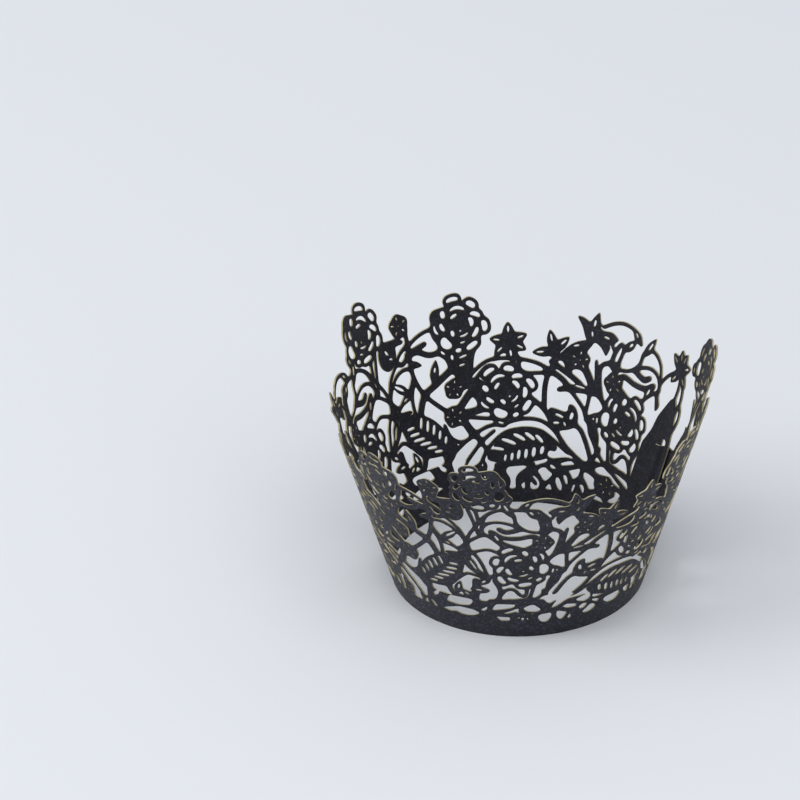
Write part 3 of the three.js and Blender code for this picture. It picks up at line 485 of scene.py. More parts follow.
# Slits and openings in leaves, buds and solid places: [angle, height, length, width, turn, bend]
CUTS = [
    [63.5, 38.7, 1.7, 0.5, 98, 0],
    [61, 38, 1.3, 0.45, 45, 0],
    [58.7, 36.4, 1.6, 0.45, 5, 0],
    [64, 36.4, 1.4, 0.45, 80, 0],
    [57, 34.9, 1.2, 0.42, 60, 0],
    [68.3, 18.8, 1.8, 0.7, 104, 0.1],
    [73, 18.4, 2.1, 0.55, 16, 0.1],
    [74, 16.9, 1.6, 0.5, -8, 0],
    [70.6, 16.9, 1.2, 0.45, 60, 0],
    [111.5, 31.3, 1.4, 0.6, 80, 0],
    [107.6, 31.1, 2.0, 0.45, -12, 0],
    [108.3, 29.4, 1.6, 0.4, -8, 0],
    [79, 10.9, 2.0, 0.75, 102, 0],
    [82.4, 10.4, 2.3, 0.75, 97, 0],
    [85.6, 10, 2.3, 0.65, 96, 0],
    [88.6, 9.8, 2.3, 0.65, 98, 0],
    [91.4, 9.4, 1.9, 0.6, 98, 0],
    [94.2, 9.2, 1.7, 0.5, 100, 0],
    [80.4, 13.2, 2.4, 0.75, 44, 0.1],
    [84.2, 13.6, 2.7, 0.75, 37, 0.1],
    [88.4, 13.4, 3.0, 0.75, 29, 0.1],
    [92.6, 12.5, 3.4, 0.75, 22, 0.1],
    [97, 11.1, 3.0, 0.65, 12, 0.1],
    [118.4, 14.9, 1.8, 0.62, 104, 0],
    [120.6, 16.3, 2.1, 0.66, 104, 0],
    [122.8, 17.7, 2.4, 0.68, 104, 0],
    [125.2, 18.9, 2.6, 0.68, 104, 0],
    [127.8, 20, 2.6, 0.66, 106, 0],
    [122.4, 13.1, 2.2, 0.6, 10, 0],
    [125, 14.3, 2.7, 0.62, 9, 0],
    [127.6, 15.6, 3.1, 0.64, 8, 0],
    [130.2, 16.9, 3.2, 0.64, 7, 0],
    [131.8, 18.3, 2.8, 0.62, 6, 0],
    [133, 19.8, 2.3, 0.6, 4, 0],
    [135.9, 36.8, 1.6, 0.5, 60, 0],
    [134.6, 35.2, 1.2, 0.45, 20, 0],
    [69, 33.4, 1.6, 0.4, -20, 0],
    [66.2, 25.1, 2.6, 0.4, 4, 0],
]


def smooth_curve(points, closed=False, step=0.5):
    """Even samples of the smooth curve through some complex points."""
    p = np.asarray(points, complex)
    if closed:
        p = np.concatenate([p[-1:], p, p[:2]])
    else:
        p = np.concatenate([p[:1], p, p[-1:]])
    found = []
    for a, b, c, d in zip(p, p[1:], p[2:], p[3:]):
        t = np.arange(0, 1, 1 / max(2, math.ceil(abs(c - b) / step)))
        square, cube = 2 * a - 5 * b + 4 * c - d, 3 * b - a - 3 * c + d
        found.append(0.5 * (2 * b + (c - a) * t + square * t**2 + cube * t**3))
    if not closed:
        found.append(p[-2:-1])
    return np.concatenate(found)


def ribbon(line, width):
    """Outline of a band of even width along a line, with round ends."""
    along = np.gradient(line)
    along = along / abs(along)
    side = 0.5j * width * along
    cap = np.exp(1j * np.radians([-60, -30, 0, 30, 60])) * width / 2
    last, first = line[-1] + along[-1] * cap, line[0] - along[0] * cap
    return np.concatenate([line - side, last, (line + side)[::-1], first])


def oval(width, height, count=16):
    """An oval round the origin."""
    turn = np.arange(count) * 2 * np.pi / count
    return 0.5 * (width * np.cos(turn) + 1j * height * np.sin(turn))


def slit(length, width, bend=0.0, count=9):
    """A slit along X with blunt round ends, its middle bent up."""
    t = np.sin(np.linspace(-np.pi / 2, np.pi / 2, count))
    half = 0.5j * width * np.sqrt(1 - t**4)
    middle = t * length / 2 + 1j * bend * (1 - t**2)
    return np.concatenate([middle - half, (middle + half)[-2:0:-1]])


def leaf_shape(length, width, count=9):
    """A leaf along +Y from the origin, pointed at both ends."""
    t = np.linspace(0, 1, count)
    half = width / 2 * np.sin(np.pi * t**0.8)
    return np.concatenate([half + 1j * t * length, (-half + 1j * t * length)[-2:0:-1]])


def scalloped(radius, count, depth, turn):
    """A round outline with so many bulges."""
    a = np.arange(12 * count) * 2 * np.pi / (12 * count)
    bulge = abs(np.cos(count / 2 * (a - math.radians(turn)))) ** 0.6
    return radius * (1 - depth + depth * bulge) * np.exp(1j * a)


class LaceDrawing:
    """The openwork on the flat card: shapes in mm, painted over each other as card or as opening."""

    def __init__(self, foot_radius, flare, stem_width):
        self.sin = math.sin(flare)
        self.flat_radius = foot_radius / self.sin
        self.stem_width = stem_width
        self.shift = 0.0
        self.card = []
        self.open = []

    def at(self, angle, height):
        """Where a place of the cone lies on the flat card, with the shift of the unit."""
        turn = math.radians((angle + self.shift) * self.sin)
        return (self.flat_radius + height) * complex(math.sin(turn), math.cos(turn))

    def put(self, points, angle, height, turn=0.0):
        """A shape round the origin, moved to a place and turned, with its Y up the slant."""
        centre = self.at(angle, height)
        spin = -1j * centre / abs(centre) * np.exp(1j * math.radians(turn))
        return centre + spin * np.asarray(points, complex)

    def patch(self, places, smooth=True):
        """Solid card inside some places."""
        points = [self.at(angle, height) for angle, height in places]
        self.card.append(smooth_curve(points, closed=True) if smooth else np.array(points))

    def stem(self, places, width):
        """A curved bar of card through some places."""
        line = smooth_curve([self.at(angle, height) for angle, height in places])
        self.card.append(ribbon(line, width))

    def leaf(self, foot_angle, foot_height, tip_angle, tip_height, width, share):
        """A leaf from its foot to its tip, with a slit of some share of its length."""
        foot = self.at(foot_angle, foot_height)
        reach = self.at(tip_angle, tip_height) - foot
        turn = reach / abs(reach)
        length = abs(reach)
        self.card.append(foot - 1j * turn * leaf_shape(length, width))
        if share > 0:
            place, slit_width = LEAF_SLIT
            self.open.append(foot + turn * (place * length + slit(length * share, width * slit_width)))

    def flower(self, angle, height, radius, turn):
        """A small flower with a slit in each petal and an eye."""
        self.card.append(self.put(scalloped(radius, FLOWER_PETALS, FLOWER_SCALLOP, turn), angle, height))
        place, length, width = FLOWER_SLIT
        for petal in range(FLOWER_PETALS):
            at = np.exp(1j * math.radians(turn + petal * FULL_TURN / FLOWER_PETALS))
            self.open.append(self.put(at * (place * radius + slit(radius * length, width)), angle, height))
        self.open.append(self.put(oval(FLOWER_EYE, FLOWER_EYE, 8), angle, height))

    def star(self, angle, height, directions, length, width):
        """Pointed petals from one middle, each with a slit."""
        place, slit_length, slit_width = STAR_SLIT
        for direction in directions:
            self.card.append(self.put(leaf_shape(length, width), angle, height, direction - 90))
            at = np.exp(1j * math.radians(direction))
            cut = at * (place * length + slit(length * slit_length, slit_width))
            self.open.append(self.put(cut, angle, height))
        self.card.append(self.put(oval(width * STAR_DISC, width * STAR_DISC), angle, height))

    def rose(self, angle, height, radius, turn):
        """A rose: card round each of its openings, on a round middle."""
        size = radius / ROSE_RADIUS
        wide, high, place = ROSE_FILL
        self.card.append(self.put(oval(ROSE_DISC, ROSE_DISC) * size, angle, height))
        self.card.append(self.put((oval(wide, high) + place) * size, angle, height, turn))
        for x, y, length, width, slant, bend in ROSE_CUTS:
            lean = np.exp(1j * math.radians(slant))
            cut = slit(length, width, bend) * lean + complex(x, y)
            petal = slit(length + 2 * PETAL_EDGE, width + 2 * PETAL_EDGE, bend) * lean + complex(x, y)
            self.open.append(self.put(cut * size, angle, height, turn))
            self.card.append(self.put(petal * size, angle, height, turn))

    def unit(self, last):
        """One repeat of the lace."""
        for stem in STEMS:
            own = not isinstance(stem[0], list)
            places = stem[1:] if own else stem
            if last:
                places = [place for place in places if place[0] <= LAST_ANGLE]
            if len(places) > 1:
                self.stem(places, stem[0] if own else self.stem_width)
        for places in LEAF_PATCHES:
            self.patch(places)
        for places in POINTED_PATCHES:
            self.patch(places, smooth=False)
        for row in LEAVES:
            self.leaf(*row)
        for first, last_angle, height in LOW_ROW:
            self.ring(first + self.shift, last_angle + self.shift, BAND_HEIGHT, height)
        for places in LOW_HOLES if self.shift else BACK_HOLES:
            self.open.append(np.array([self.at(angle, height) for angle, height in places]))
        for row in STARS:
            self.star(*row)
        for row in ROSES:
            self.rose(*row)
        for row in FLOWERS:
            self.flower(*row)
        for angle, height, length, width, turn, bend in CUTS:
            self.open.append(self.put(slit(length, width, bend), angle, height, turn))

    def lap(self):
        """The near panel with its slit, and the far panel whose tongue goes through it."""
        for places in LAP_PANELS:
            self.patch(places, smooth=False)
        for places in LAP_STEMS:
            self.stem(places, self.stem_width)
        self.star(*LAP_SPRIG)
        low, high = SLIT_BOTTOM + TONGUE_SIDE_GAP, SLIT_TOP - TONGUE_SIDE_GAP
        root, tip = FULL_TURN + TONGUE_ROOT, FULL_TURN + LAP_END
        self.patch(
            [
                [root - TONGUE_OVERLAP, low - 1],
                [root, low],
                [tip - 1, low + TONGUE_TAPER],
                [tip, low + TONGUE_CORNER],
                [tip, high - TONGUE_CORNER],
                [tip - 1, high - TONGUE_TAPER],
                [root, high],
                [root - TONGUE_OVERLAP, high + 1],
            ],
            smooth=False,
        )
        half_width, half_height = SLIT_WIDTH / 2, 1j * (SLIT_TOP - SLIT_BOTTOM) / 2
        corners = [-half_width - half_height, half_width - half_height]
        corners += [half_width + half_height, -half_width + half_height]
        self.open.append(self.put(corners, SLIT_PLACE, (SLIT_TOP + SLIT_BOTTOM) / 2))

    def ring(self, first, last, low, high):
        """A strip of card between two heights, from one angle to another."""
        shift, self.shift = self.shift, 0.0
        angles = np.linspace(first, last, round((last - first) / RING_STEP))
        foot = [self.at(angle, low - RING_OVERLAP) for angle in angles]
        top = [self.at(angle, high) for angle in angles[::-1]]
        self.card.append(np.array(foot + top))
        self.shift = shift

    def draw(self):
        """The whole sheet: the band, the repeats and the lap."""
        self.ring(LAP_START, FULL_TURN + BAND_END, RING_OVERLAP, BAND_HEIGHT)
        for unit in range(UNIT_COUNT):
            self.shift = unit * UNIT_ANGLE
            self.unit(unit == UNIT_COUNT - 1)
        self.shift = 0.0
        self.lap()
        return self


def windings(points, outline):
    """How many times an outline goes round each point."""
    a, b = outline, np.roll(outline, -1)
    up = (a.imag[None] <= points.imag[:, None]) & (b.imag[None] > points.imag[:, None])
    down = (a.imag[None] > points.imag[:, None]) & (b.imag[None] <= points.imag[:, None])
    side = ((b - a).real[None] * (points.imag[:, None] - a.imag[None])
            - (points.real[:, None] - a.real[None]) * (b - a).imag[None])
    return (up & (side > 0)).sum(1) - (down & (side < 0)).sum(1)


def covered(points, outline):
    """Which points an outline covers."""
    low = complex(outline.real.min(), outline.imag.min())
    high = complex(outline.real.max(), outline.imag.max())
    near = ((points.real > low.real) & (points.real < high.real)
            & (points.imag > low.imag) & (points.imag < high.imag)).nonzero()[0]
    return near[windings(points[near], outline) != 0]


def triangles_through(outlines, lines=()):
    """Triangles whose edges follow all the outlines and lines: points as complex numbers, and corners."""
    points, edges = [], []
    for path, closed in [(o, True) for o in outlines] + [(line, False) for line in lines]:
        first = len(points)
        points += [Vector((p.real, p.imag)) for p in path]
        edges += [(first + i, first + i + 1) for i in range(len(path) - 1)]
        if closed:
            edges.append((first + len(path) - 1, first))
    made = delaunay_2d_cdt(points, edges, [], 0, 1e-4, False)
    flat = np.array([(p.x, p.y) for p in made[0]])
    return flat[:, 0] + 1j * flat[:, 1], np.array(made[2])


def edge_loops(corners):
    """Closed outlines of a set of triangles, as corner numbers."""
    sides = np.concatenate([corners[:, [0, 1]], corners[:, [1, 2]], corners[:, [2, 0]]])
    known = set(map(tuple, sides.tolist()))
    onward = {}
    for a, b in known:
        if (b, a) not in known:
            onward.setdefault(a, []).append(b)
    loops = []
    for start in sorted(onward):
        while onward[start]:
            loop, here = [], start
            while True:
                loop.append(here)
                here = onward[here].pop()
                if here == start:
                    break
            loops.append(loop)
    return loops


def area(loop):
    """Area inside a loop, negative round a hole."""
    return 0.5 * (loop.conj() * np.roll(loop, -1)).imag.sum()


def rounded(loop, step):
    """A loop sampled evenly, with its corners rounded a little as a laser leaves them."""
    ends = np.append(loop, loop[0])
    length = np.concatenate([[0], np.cumsum(abs(np.diff(ends)))])
    count = max(6, round(length[-1] / step))
    at = np.arange(count) * length[-1] / count
    even = np.interp(at, length, ends.real) + 1j * np.interp(at, length, ends.imag)
    for _ in range(3 if length[-1] > LONG_LOOP else 1):
        even = (np.roll(even, 1) + 2 * even + np.roll(even, -1)) / 4
    return even


def flat_lace(drawing, step, fold):
    """The cut sheet as flat triangles, in mm, with edges along the slant every few degrees."""
    points, corners = triangles_through(drawing.card + drawing.open)
    middles = points[corners].mean(1)
    card = np.zeros(len(corners), bool)
    for outline in drawing.card:
        card[covered(middles, outline)] = True
    for outline in drawing.open:
        card[covered(middles, outline)] = False
    loops = [points[loop] for loop in edge_loops(corners[card])]
    outer = rounded(max(loops, key=area), step)
    holes = [rounded(loop, step) for loop in loops if area(loop) < -SMALLEST_OPENING]
    top = max(abs(outer)) - drawing.flat_radius
    folds = [
        np.array([drawing.at(angle, -1), drawing.at(angle, top + 1)])
        for angle in np.arange(LAP_START, FULL_TURN + LAP_END, fold)
    ]
    points, corners = triangles_through([outer] + holes, folds)
    middles = points[corners].mean(1)
    card = np.zeros(len(corners), bool)
    card[covered(middles, outer)] = True
    for hole in holes:
        card[covered(middles, hole)] = False
    return points, corners[card]


def linear(colour):
    """An sRGB hex colour such as #24242c as linear red, green, blue and alpha."""
    parts = [int(colour[i : i + 2], 16) / 255 for i in (1, 3, 5)]
    return [c / 12.92 if c <= 0.04045 else ((c + 0.055) / 1.055) ** 2.4 for c in parts] + [1.0]


def add(tree, kind, links=None, **settings):
    """Adds a node with its settings, and sets or links its inputs. Gives the node."""
    node = tree.nodes.new(kind)
    for name, value in settings.items():
        setattr(node, name, value)
    for name, value in (links or {}).items():
        if isinstance(value, bpy.types.NodeSocket):
            tree.links.new(value, node.inputs[name])
        else:
            node.inputs[name].default_value = value
    return node


def new_material(name):
    """A material with an empty node tree."""
    material = bpy.data.materials.new(name)
    material.use_nodes = True
    tree = material.node_tree
    tree.nodes.clear()
    return material, tree


def pearlescent_card(name, dark, light, flake, gloss):
    """Pearlescent card: dyed dark card under a thin mica coat that was rolled on. It gives the eye a
    charcoal navy with fine cool glints and a slight mottle where the coat lies unevenly. The inner face is
    the same card, given darker colours as painted shade for the inside of the cup."""
    material, tree = new_material(name)
    place = add(tree, "ShaderNodeTexCoord").outputs["Object"]
    # mica flakes about 0.3 mm apart, coarser than the real ones, so that they show in the render
    flakes = add(tree, "ShaderNodeTexVoronoi", {"Vector": place, "Scale": 1 / (0.34 * MM)}, feature="F1")
    chosen = add(tree, "ShaderNodeSeparateColor", {"Color": flakes.outputs["Color"]})
    # mottle of the coat about 3 mm across
    mottle = add(tree, "ShaderNodeTexNoise", {"Vector": place, "Scale": 1 / (3 * MM), "Detail": 3.0})
    # relief of the paper fibres under the coat, about 0.25 mm apart
    fibres = add(tree, "ShaderNodeTexNoise", {"Vector": place, "Scale": 1 / (0.25 * MM), "Detail": 2.0})
    bright = add(
        tree, "ShaderNodeMapRange", {"Value": chosen.outputs["Red"], "From Min": 0.72, "From Max": 1.0}
    ).outputs["Result"]
    patchy = add(
        tree, "ShaderNodeMapRange", {"Value": mottle.outputs["Fac"], "From Min": 0.3, "From Max": 0.7}
    ).outputs["Result"]
    base = add(tree, "ShaderNodeMix", {"Factor": patchy}, data_type="RGBA")
    base.inputs["A"].default_value = dark
    base.inputs["B"].default_value = light
    glint = add(tree, "ShaderNodeMix", {"Factor": bright, "A": base.outputs["Result"]}, data_type="RGBA")
    glint.inputs["B"].default_value = flake
    dull = add(
        tree, "ShaderNodeMapRange", {"Value": bright, "To Min": gloss, "To Max": 0.7 * gloss}
    ).outputs["Result"]
    relief = add(
        tree,
        "ShaderNodeBump",
        {"Height": fibres.outputs["Fac"], "Strength": 0.35, "Distance": 0.05 * MM},
    )
    shader = add(
        tree,
        "ShaderNodeBsdfPrincipled",
        {
            "Base Color": glint.outputs["Result"],
            "Roughness": dull,
            "Specular IOR Level": 0.32,
            "Normal": relief.outputs["Normal"],
        },
    )
    add(tree, "ShaderNodeOutputMaterial", {"Surface": shader.outputs["BSDF"]})
    return material


def cut_edge(colours):
    """Laser cut card edge: the pulp core, toasted by the beam. It gives the eye a thin khaki line that
    turns browner where the beam slowed down."""
    material, tree = new_material("laser cut card edge")
    place = add(tree, "ShaderNodeTexCoord").outputs["Object"]
    # the beam's changes of speed come every 2 mm or so
    toast = add(tree, "ShaderNodeTexNoise", {"Vector": place, "Scale": 1 / (2 * MM), "Detail": 2.0})
    share = add(
        tree, "ShaderNodeMapRange", {"Value": toast.outputs["Fac"], "From Min": 0.35, "From Max": 0.65}
    ).outputs["Result"]
    base = add(tree, "ShaderNodeMix", {"Factor": share}, data_type="RGBA")
    base.inputs["A"].default_value = colours.edge_dark
    base.inputs["B"].default_value = colours.edge_light
    shader = add(
        tree,
        "ShaderNodeBsdfPrincipled",
        {"Base Color": base.outputs["Result"], "Roughness": 0.85, "Specular IOR Level": 0.3},
    )
    add(tree, "ShaderNodeOutputMaterial", {"Surface": shader.outputs["BSDF"]})
    return material


def rolling_tree():
    """Geometry Nodes that give the flat sheet its thickness and roll it onto the cone. The near end of the
    lap stands inwards, the far end outwards, and the tongue goes back in through the slit."""
    tree = bpy.data.node_groups.new("roll the sheet", "GeometryNodeTree")
    tree.interface.new_socket("Flat sheet", in_out="INPUT", socket_type="NodeSocketGeometry")
    for name in ROLL_SIZES:
        tree.interface.new_socket(name, in_out="INPUT", socket_type="NodeSocketFloat")
    for name in ("Outer face", "Inner face", "Cut edge"):
        tree.interface.new_socket(name, in_out="INPUT", socket_type="NodeSocketMaterial")
    tree.interface.new_socket("Wrapper", in_out="OUTPUT", socket_type="NodeSocketGeometry")
    given = add(tree, "NodeGroupInput").outputs

    # the card: a coated face outside, the same card inside in darker colours as painted shade, and the cut
    # walls between them
    lift = add(tree, "ShaderNodeCombineXYZ", {"Z": given["Card thickness"]})
    coated = add(
        tree,
        "GeometryNodeExtrudeMesh",
        {"Mesh": given["Flat sheet"], "Offset": lift.outputs["Vector"], "Individual": False},
        mode="FACES",
    )
    plain = add(tree, "GeometryNodeFlipFaces", {"Mesh": given["Flat sheet"]})
    both = add(tree, "GeometryNodeJoinGeometry")
    for side, name in ((coated, "Outer face"), (plain, "Inner face")):
        links = {"Geometry": side.outputs["Mesh"], "Material": given[name]}
        face = add(tree, "GeometryNodeSetMaterial", links)
        tree.links.new(face.outputs["Geometry"], both.inputs[0])
    card = add(
        tree, "GeometryNodeMergeByDistance", {"Geometry": both.outputs["Geometry"], "Distance": 0.001 * MM}
    )

    # each row is one step of the roll: its name, what it does, and the names or numbers that it takes
    start = add(tree, "GeometryNodeInputPosition")
    point = add(tree, "ShaderNodeSeparateXYZ", {"Vector": start.outputs["Position"]})
    level = add(tree, "ShaderNodeCombineXYZ", {"X": point.outputs["X"], "Y": point.outputs["Y"]})
    reach = add(tree, "ShaderNodeVectorMath", {0: level.outputs["Vector"]}, operation="LENGTH")
    values = {name: given[name] for name in ROLL_SIZES}
    values.update({"across": point.outputs["X"], "along": point.outputs["Y"], "up": point.outputs["Z"]})
    values["reach"] = reach.outputs["Value"]
    for name, step, *taken in ROLL_STEPS:
        taken = [values.get(one, one) for one in taken]
        if step == "SMOOTHSTEP":
            links = dict(zip(("Value", "From Min", "From Max", "To Min", "To Max"), taken))
            node = add(tree, "ShaderNodeMapRange", links, interpolation_type=step)
        else:
            node = add(tree, "ShaderNodeMath", dict(enumerate(taken)), operation=step)
        values[name] = node.outputs[0]
    target = add(tree, "ShaderNodeCombineXYZ", {axis.upper(): values[axis] for axis in "xyz"})
    cone = add(
        tree,
        "GeometryNodeSetPosition",
        {"Geometry": card.outputs["Geometry"], "Position": target.outputs["Vector"]},
    )

    # flat facets: the folds are so close that the roll looks smooth, and no sliver at a cut bends its
    # shading
    facets = add(
        tree, "GeometryNodeSetShadeSmooth", {"Geometry": cone.outputs["Geometry"], "Shade Smooth": False}
    )
    real = add(tree, "GeometryNodeRealizeInstances", {"Geometry": facets.outputs["Geometry"]})
    edged = add(
        tree,
        "GeometryNodeSetMaterial",
        {
            "Geometry": real.outputs["Geometry"],
            "Selection": coated.outputs["Side"],
            "Material": given["Cut edge"],
        },
    )
    add(tree, "NodeGroupOutput", {"Wrapper": edged.outputs["Geometry"]})
    return tree


def cone_axis():
    """Middle of the foot, from a circle through the frame's rim."""
    points = np.array([v.co[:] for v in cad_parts["lace_wrapper"].data.vertices])
    rim = points[points[:, 2] < RIM_HEIGHT][:, :2]
    for _ in range(3):
        rows = np.column_stack([2 * rim, np.ones(len(rim))])
        x, y, rest = np.linalg.lstsq(rows, (rim**2).sum(1), rcond=None)[0]
        off = abs(np.hypot(rim[:, 0] - x, rim[:, 1] - y) - math.sqrt(rest + x * x + y * y))
        rim = rim[off < RIM_SPREAD]
    return float(x), float(y)


class LaceWrapperSizes(bpy.types.PropertyGroup):
    """Sizes of the wrapper."""

    foot_radius: FloatProperty(
        name="Foot radius",
        description="Radius of the middle of the card at the foot",
        default=25 * MM,
        min=15 * MM,
        max=60 * MM,
        unit="LENGTH",
    )
    flare: FloatProperty(
        name="Flare",
        description="Angle between the wall and upright",
        default=math.radians(17),
        min=math.radians(5),
        max=math.radians(30),
        subtype="ANGLE",
    )
    card_thickness: FloatProperty(
        name="Card thickness",
        description="Thickness of the card",
        default=0.3 * MM,
        min=0.15 * MM,
        max=0.6 * MM,
        unit="LENGTH",
    )
    stem_width: FloatProperty(
        name="Stem width",
        description="Width of the plain stems",
        default=0.8 * MM,
        min=0.4 * MM,
        max=1.6 * MM,
        unit="LENGTH",
    )
    lap_gap: FloatProperty(
        name="Lap gap",
        description="Space between the two ends of the card where they lap",
        default=0.3 * MM,
        min=0.1 * MM,
        max=1 * MM,
        unit="LENGTH",
    )
    edge_step: FloatProperty(
        name="Edge step",
        description="Length of the straight pieces that the cut edges are made of",
        default=0.36 * MM,
        min=0.2 * MM,
        max=1 * MM,
        unit="LENGTH",
    )
    fold_step: FloatProperty(
        name="Fold step",
        description="Angle round the cone between the lines along which the card bends",
        default=math.radians(2),
        min=math.radians(1),
        max=math.radians(12),
        subtype="ANGLE",
    )


class LaceWrapperColours(bpy.types.PropertyGroup):
    """Colours of the card."""

    __annotations__ = {
        name: FloatVectorProperty(
            name=title, description=text, default=linear(colour), size=4, subtype="COLOR", min=0, max=1
        )
        for name, title, text, colour in CARD_COLOURS
    }


class StudioSettings(bpy.types.PropertyGroup):
    """Floor, lights and camera."""

    floor: FloatVectorProperty(
        name="Floor", description="Colour of the floor", size=4, subtype="COLOR",
        default=linear("#d6d8db"), min=0, max=1,
    )
    key_power: FloatProperty(
        name="Key light", description="Power of the large light at the left", default=11.0, unit="POWER"
    )
    fill_power: FloatProperty(
        name="Fill light", description="Power of the large light over the camera", default=9.0, unit="POWER"
    )
    sky: FloatProperty(name="Sky", description="Strength of the even light from all sides", default=0.75)
    lens: FloatProperty(
        name="Lens", description="Focal length of the camera", default=0.3653, unit="CAMERA", precision=4
    )


class LACE_OT_wrapper(bpy.types.Operator):
    """Makes the cut and rolled sheet of card."""

    bl_idname = "lace.wrapper"
    bl_label = "Lace wrapper"

    def execute(self, context):
        sizes = context.scene.lace_sizes
        colours = context.scene.lace_colours
        drawing = LaceDrawing(sizes.foot_radius / MM, sizes.flare, sizes.stem_width / MM).draw()
        points, corners = flat_lace(drawing, sizes.edge_step / MM, math.degrees(sizes.fold_step))
        used, corners = np.unique(corners, return_inverse=True)
        points = points[used] * MM
        mesh = bpy.data.meshes.new("lace_card")
        mesh.from_pydata(
            [(p.real, p.imag, 0) for p in points], [], corners.reshape(-1, 3).tolist()
        )
        flat = bpy.data.objects.new("flat_sheet", mesh)
        context.scene.collection.objects.link(flat)

        tree = rolling_tree()
        axis = cone_axis()
        card = sizes.card_thickness / math.cos(sizes.flare)
        values = {
            "Card thickness": sizes.card_thickness,
            "Foot radius": sizes.foot_radius,
            "Flare": sizes.flare,
            "Lap offset": (sizes.lap_gap + card) / 2,
            "Near end from": math.radians(LAP_END + NEAR_REST),
            "Near end to": math.radians(LAP_END + NEAR_REST + LAP_EASE),
            "Far end from": math.radians(FULL_TURN + LAP_START - FAR_REST - LAP_EASE),
            "Far end to": math.radians(FULL_TURN + LAP_START - FAR_REST),
            "Slit place": math.radians(FULL_TURN + SLIT_PLACE),
            "Slit half width": PASS_SHARE * SLIT_WIDTH * MM / 2,
            "Slit bottom": SLIT_BOTTOM * MM,
            "Slit top": SLIT_TOP * MM,
            "Axis X": axis[0],
            "Axis Y": axis[1],
            "Outer face": pearlescent_card(
                "pearlescent card",
                colours.coat_dark[:],
                colours.coat_light[:],
                colours.flake[:],
                COAT_ROUGHNESS,
            ),
            # the inner face is the same card, in darker colours that paint the shade inside the cup
            "Inner face": pearlescent_card(
                "pearlescent card inside, painted shade",
                colours.inner_dark[:],
                colours.inner_light[:],
                colours.inner_flake[:],
                INNER_ROUGHNESS,
            ),
            "Cut edge": cut_edge(colours),
        }
        roll = flat.modifiers.new("roll", "NODES")
        roll.node_group = tree
        for socket in tree.interface.items_tree:
            if socket.name in values:
                roll[socket.identifier] = values[socket.name]
        rolled = bpy.data.meshes.new_from_object(flat.evaluated_get(context.evaluated_depsgraph_get()))
        if len(rolled.polygons) == 0:
            raise RuntimeError("the sheet came out empty")
        bpy.data.objects.remove(flat)
        rolled.name = "lace_card"
        piece = bpy.data.objects.new("lace_card", rolled)
        context.scene.collection.objects.link(piece)
        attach(piece, "root")
        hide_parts("lace_wrapper")
        return {"FINISHED"}


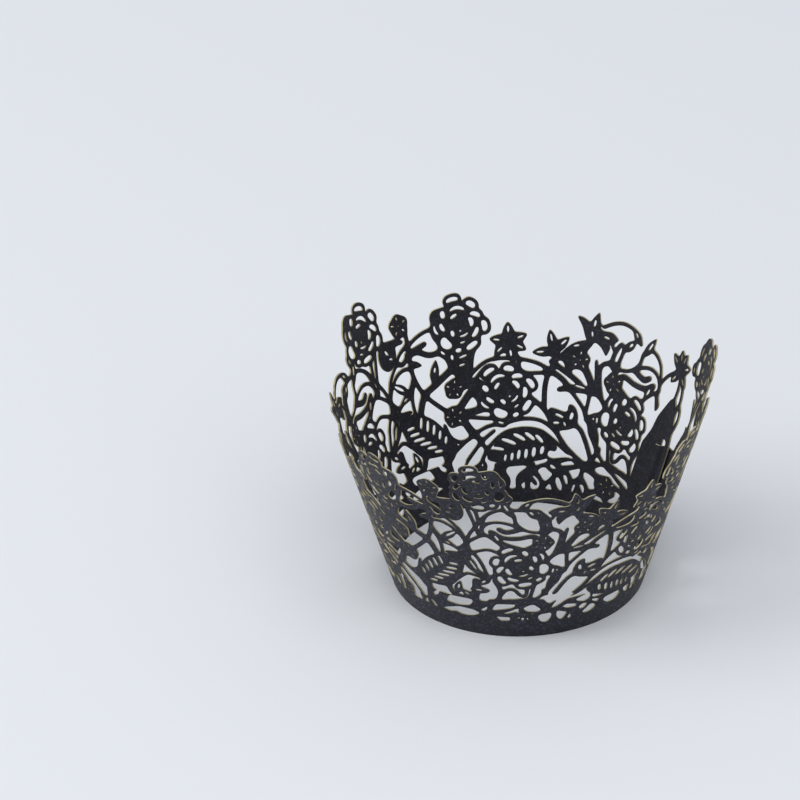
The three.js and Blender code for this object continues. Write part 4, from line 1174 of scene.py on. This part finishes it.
class LACE_OT_studio(bpy.types.Operator):
    """Makes the pale floor, the soft lights and the camera at the photograph's angle."""

    bl_idname = "lace.studio"
    bl_label = "Studio"

    def execute(self, context):
        scene = context.scene
        studio = scene.lace_studio
        axis = Vector((*cone_axis(), 0))

        material, tree = new_material("painted board")
        shader = add(
            tree,
            "ShaderNodeBsdfPrincipled",
            {"Base Color": studio.floor[:], "Roughness": 0.7, "Specular IOR Level": 0.25},
        )
        add(tree, "ShaderNodeOutputMaterial", {"Surface": shader.outputs["BSDF"]})
        mesh = bpy.data.meshes.new("floor")
        quarters = ((-1, -1), (1, -1), (1, 1), (-1, 1))
        corners = [(x * FLOOR_HALF, y * FLOOR_HALF, -FLOOR_DROP) for x, y in quarters]
        mesh.from_pydata(corners, [], [(0, 1, 2, 3)])
        mesh.materials.append(material)
        floor = bpy.data.objects.new("floor", mesh)
        scene.collection.objects.link(floor)

        # a key from the left, as from a window, and a wide soft fill from above
        for name, power, (size, place) in (
            ("key", studio.key_power, KEY_LIGHT),
            ("fill", studio.fill_power, FILL_LIGHT),
        ):
            lamp = bpy.data.lights.new(name, "AREA")
            lamp.energy = power
            lamp.size = size
            light = bpy.data.objects.new(name, lamp)
            light.location = axis + Vector(place)
            light.rotation_mode = "QUATERNION"
            light.rotation_quaternion = (-Vector(place)).to_track_quat("-Z", "Y")
            scene.collection.objects.link(light)

        world = bpy.data.worlds.new("studio")
        world.use_nodes = True
        tree = world.node_tree
        tree.nodes.clear()
        # the room behind is as pale as the floor, and its light is the sky's
        rays = add(tree, "ShaderNodeLightPath").outputs
        seen = rays["Is Camera Ray"]
        for name in ("Is Glossy Ray", "Is Transmission Ray"):
            seen = add(tree, "ShaderNodeMath", {0: seen, 1: rays[name]}, operation="MAXIMUM").outputs[0]
        light = add(tree, "ShaderNodeBackground", {"Color": linear(SKY_COLOUR), "Strength": studio.sky})
        behind = add(tree, "ShaderNodeBackground", {"Color": studio.floor[:], "Strength": 1.0})
        mixed = add(
            tree,
            "ShaderNodeMixShader",
            {0: seen, 1: light.outputs[0], 2: behind.outputs[0]},
        )
        add(tree, "ShaderNodeOutputWorld", {"Surface": mixed.outputs[0]})
        scene.world = world

        lens = bpy.data.cameras.new("camera")
        lens.lens = studio.lens / MM
        lens.sensor_width = 36
        camera = bpy.data.objects.new("camera", lens)
        target = axis + Vector(CAMERA_TARGET) * MM
        camera.location = axis + Vector(CAMERA_PLACE) * MM
        camera.rotation_mode = "QUATERNION"
        camera.rotation_quaternion = (
            (target - camera.location).to_track_quat("-Z", "Y").to_matrix()
            @ Matrix.Rotation(math.radians(CAMERA_ROLL), 3, "Z")
        ).to_quaternion()
        scene.collection.objects.link(camera)
        scene.camera = camera
        scene.view_settings.view_transform = "Standard"
        return {"FINISHED"}


class LACE_PT_panel(bpy.types.Panel):
    """Sizes, colours and pieces of the lace wrapper."""

    bl_label = "Lace wrapper"
    bl_idname = "LACE_PT_panel"
    bl_space_type = "VIEW_3D"
    bl_region_type = "UI"
    bl_category = "Lace wrapper"

    def draw(self, context):
        scene = context.scene
        for group in (scene.lace_sizes, scene.lace_colours, scene.lace_studio):
            box = self.layout.box()
            for name in group.bl_rna.properties.keys():
                if name not in ("rna_type", "name"):
                    box.prop(group, name)
        self.layout.operator("lace.wrapper")
        self.layout.operator("lace.studio")


CLASSES = (
    LaceWrapperSizes,
    LaceWrapperColours,
    StudioSettings,
    LACE_OT_wrapper,
    LACE_OT_studio,
    LACE_PT_panel,
)


def register():
    for cls in CLASSES:
        bpy.utils.register_class(cls)
    bpy.types.Scene.lace_sizes = PointerProperty(type=LaceWrapperSizes)
    bpy.types.Scene.lace_colours = PointerProperty(type=LaceWrapperColours)
    bpy.types.Scene.lace_studio = PointerProperty(type=StudioSettings)


def unregister():
    del bpy.types.Scene.lace_sizes
    del bpy.types.Scene.lace_colours
    del bpy.types.Scene.lace_studio
    for cls in reversed(CLASSES):
        bpy.utils.unregister_class(cls)


def main():
    register()
    bpy.ops.lace.wrapper()
    bpy.ops.lace.studio()


if __name__ == "__main__":
    main()
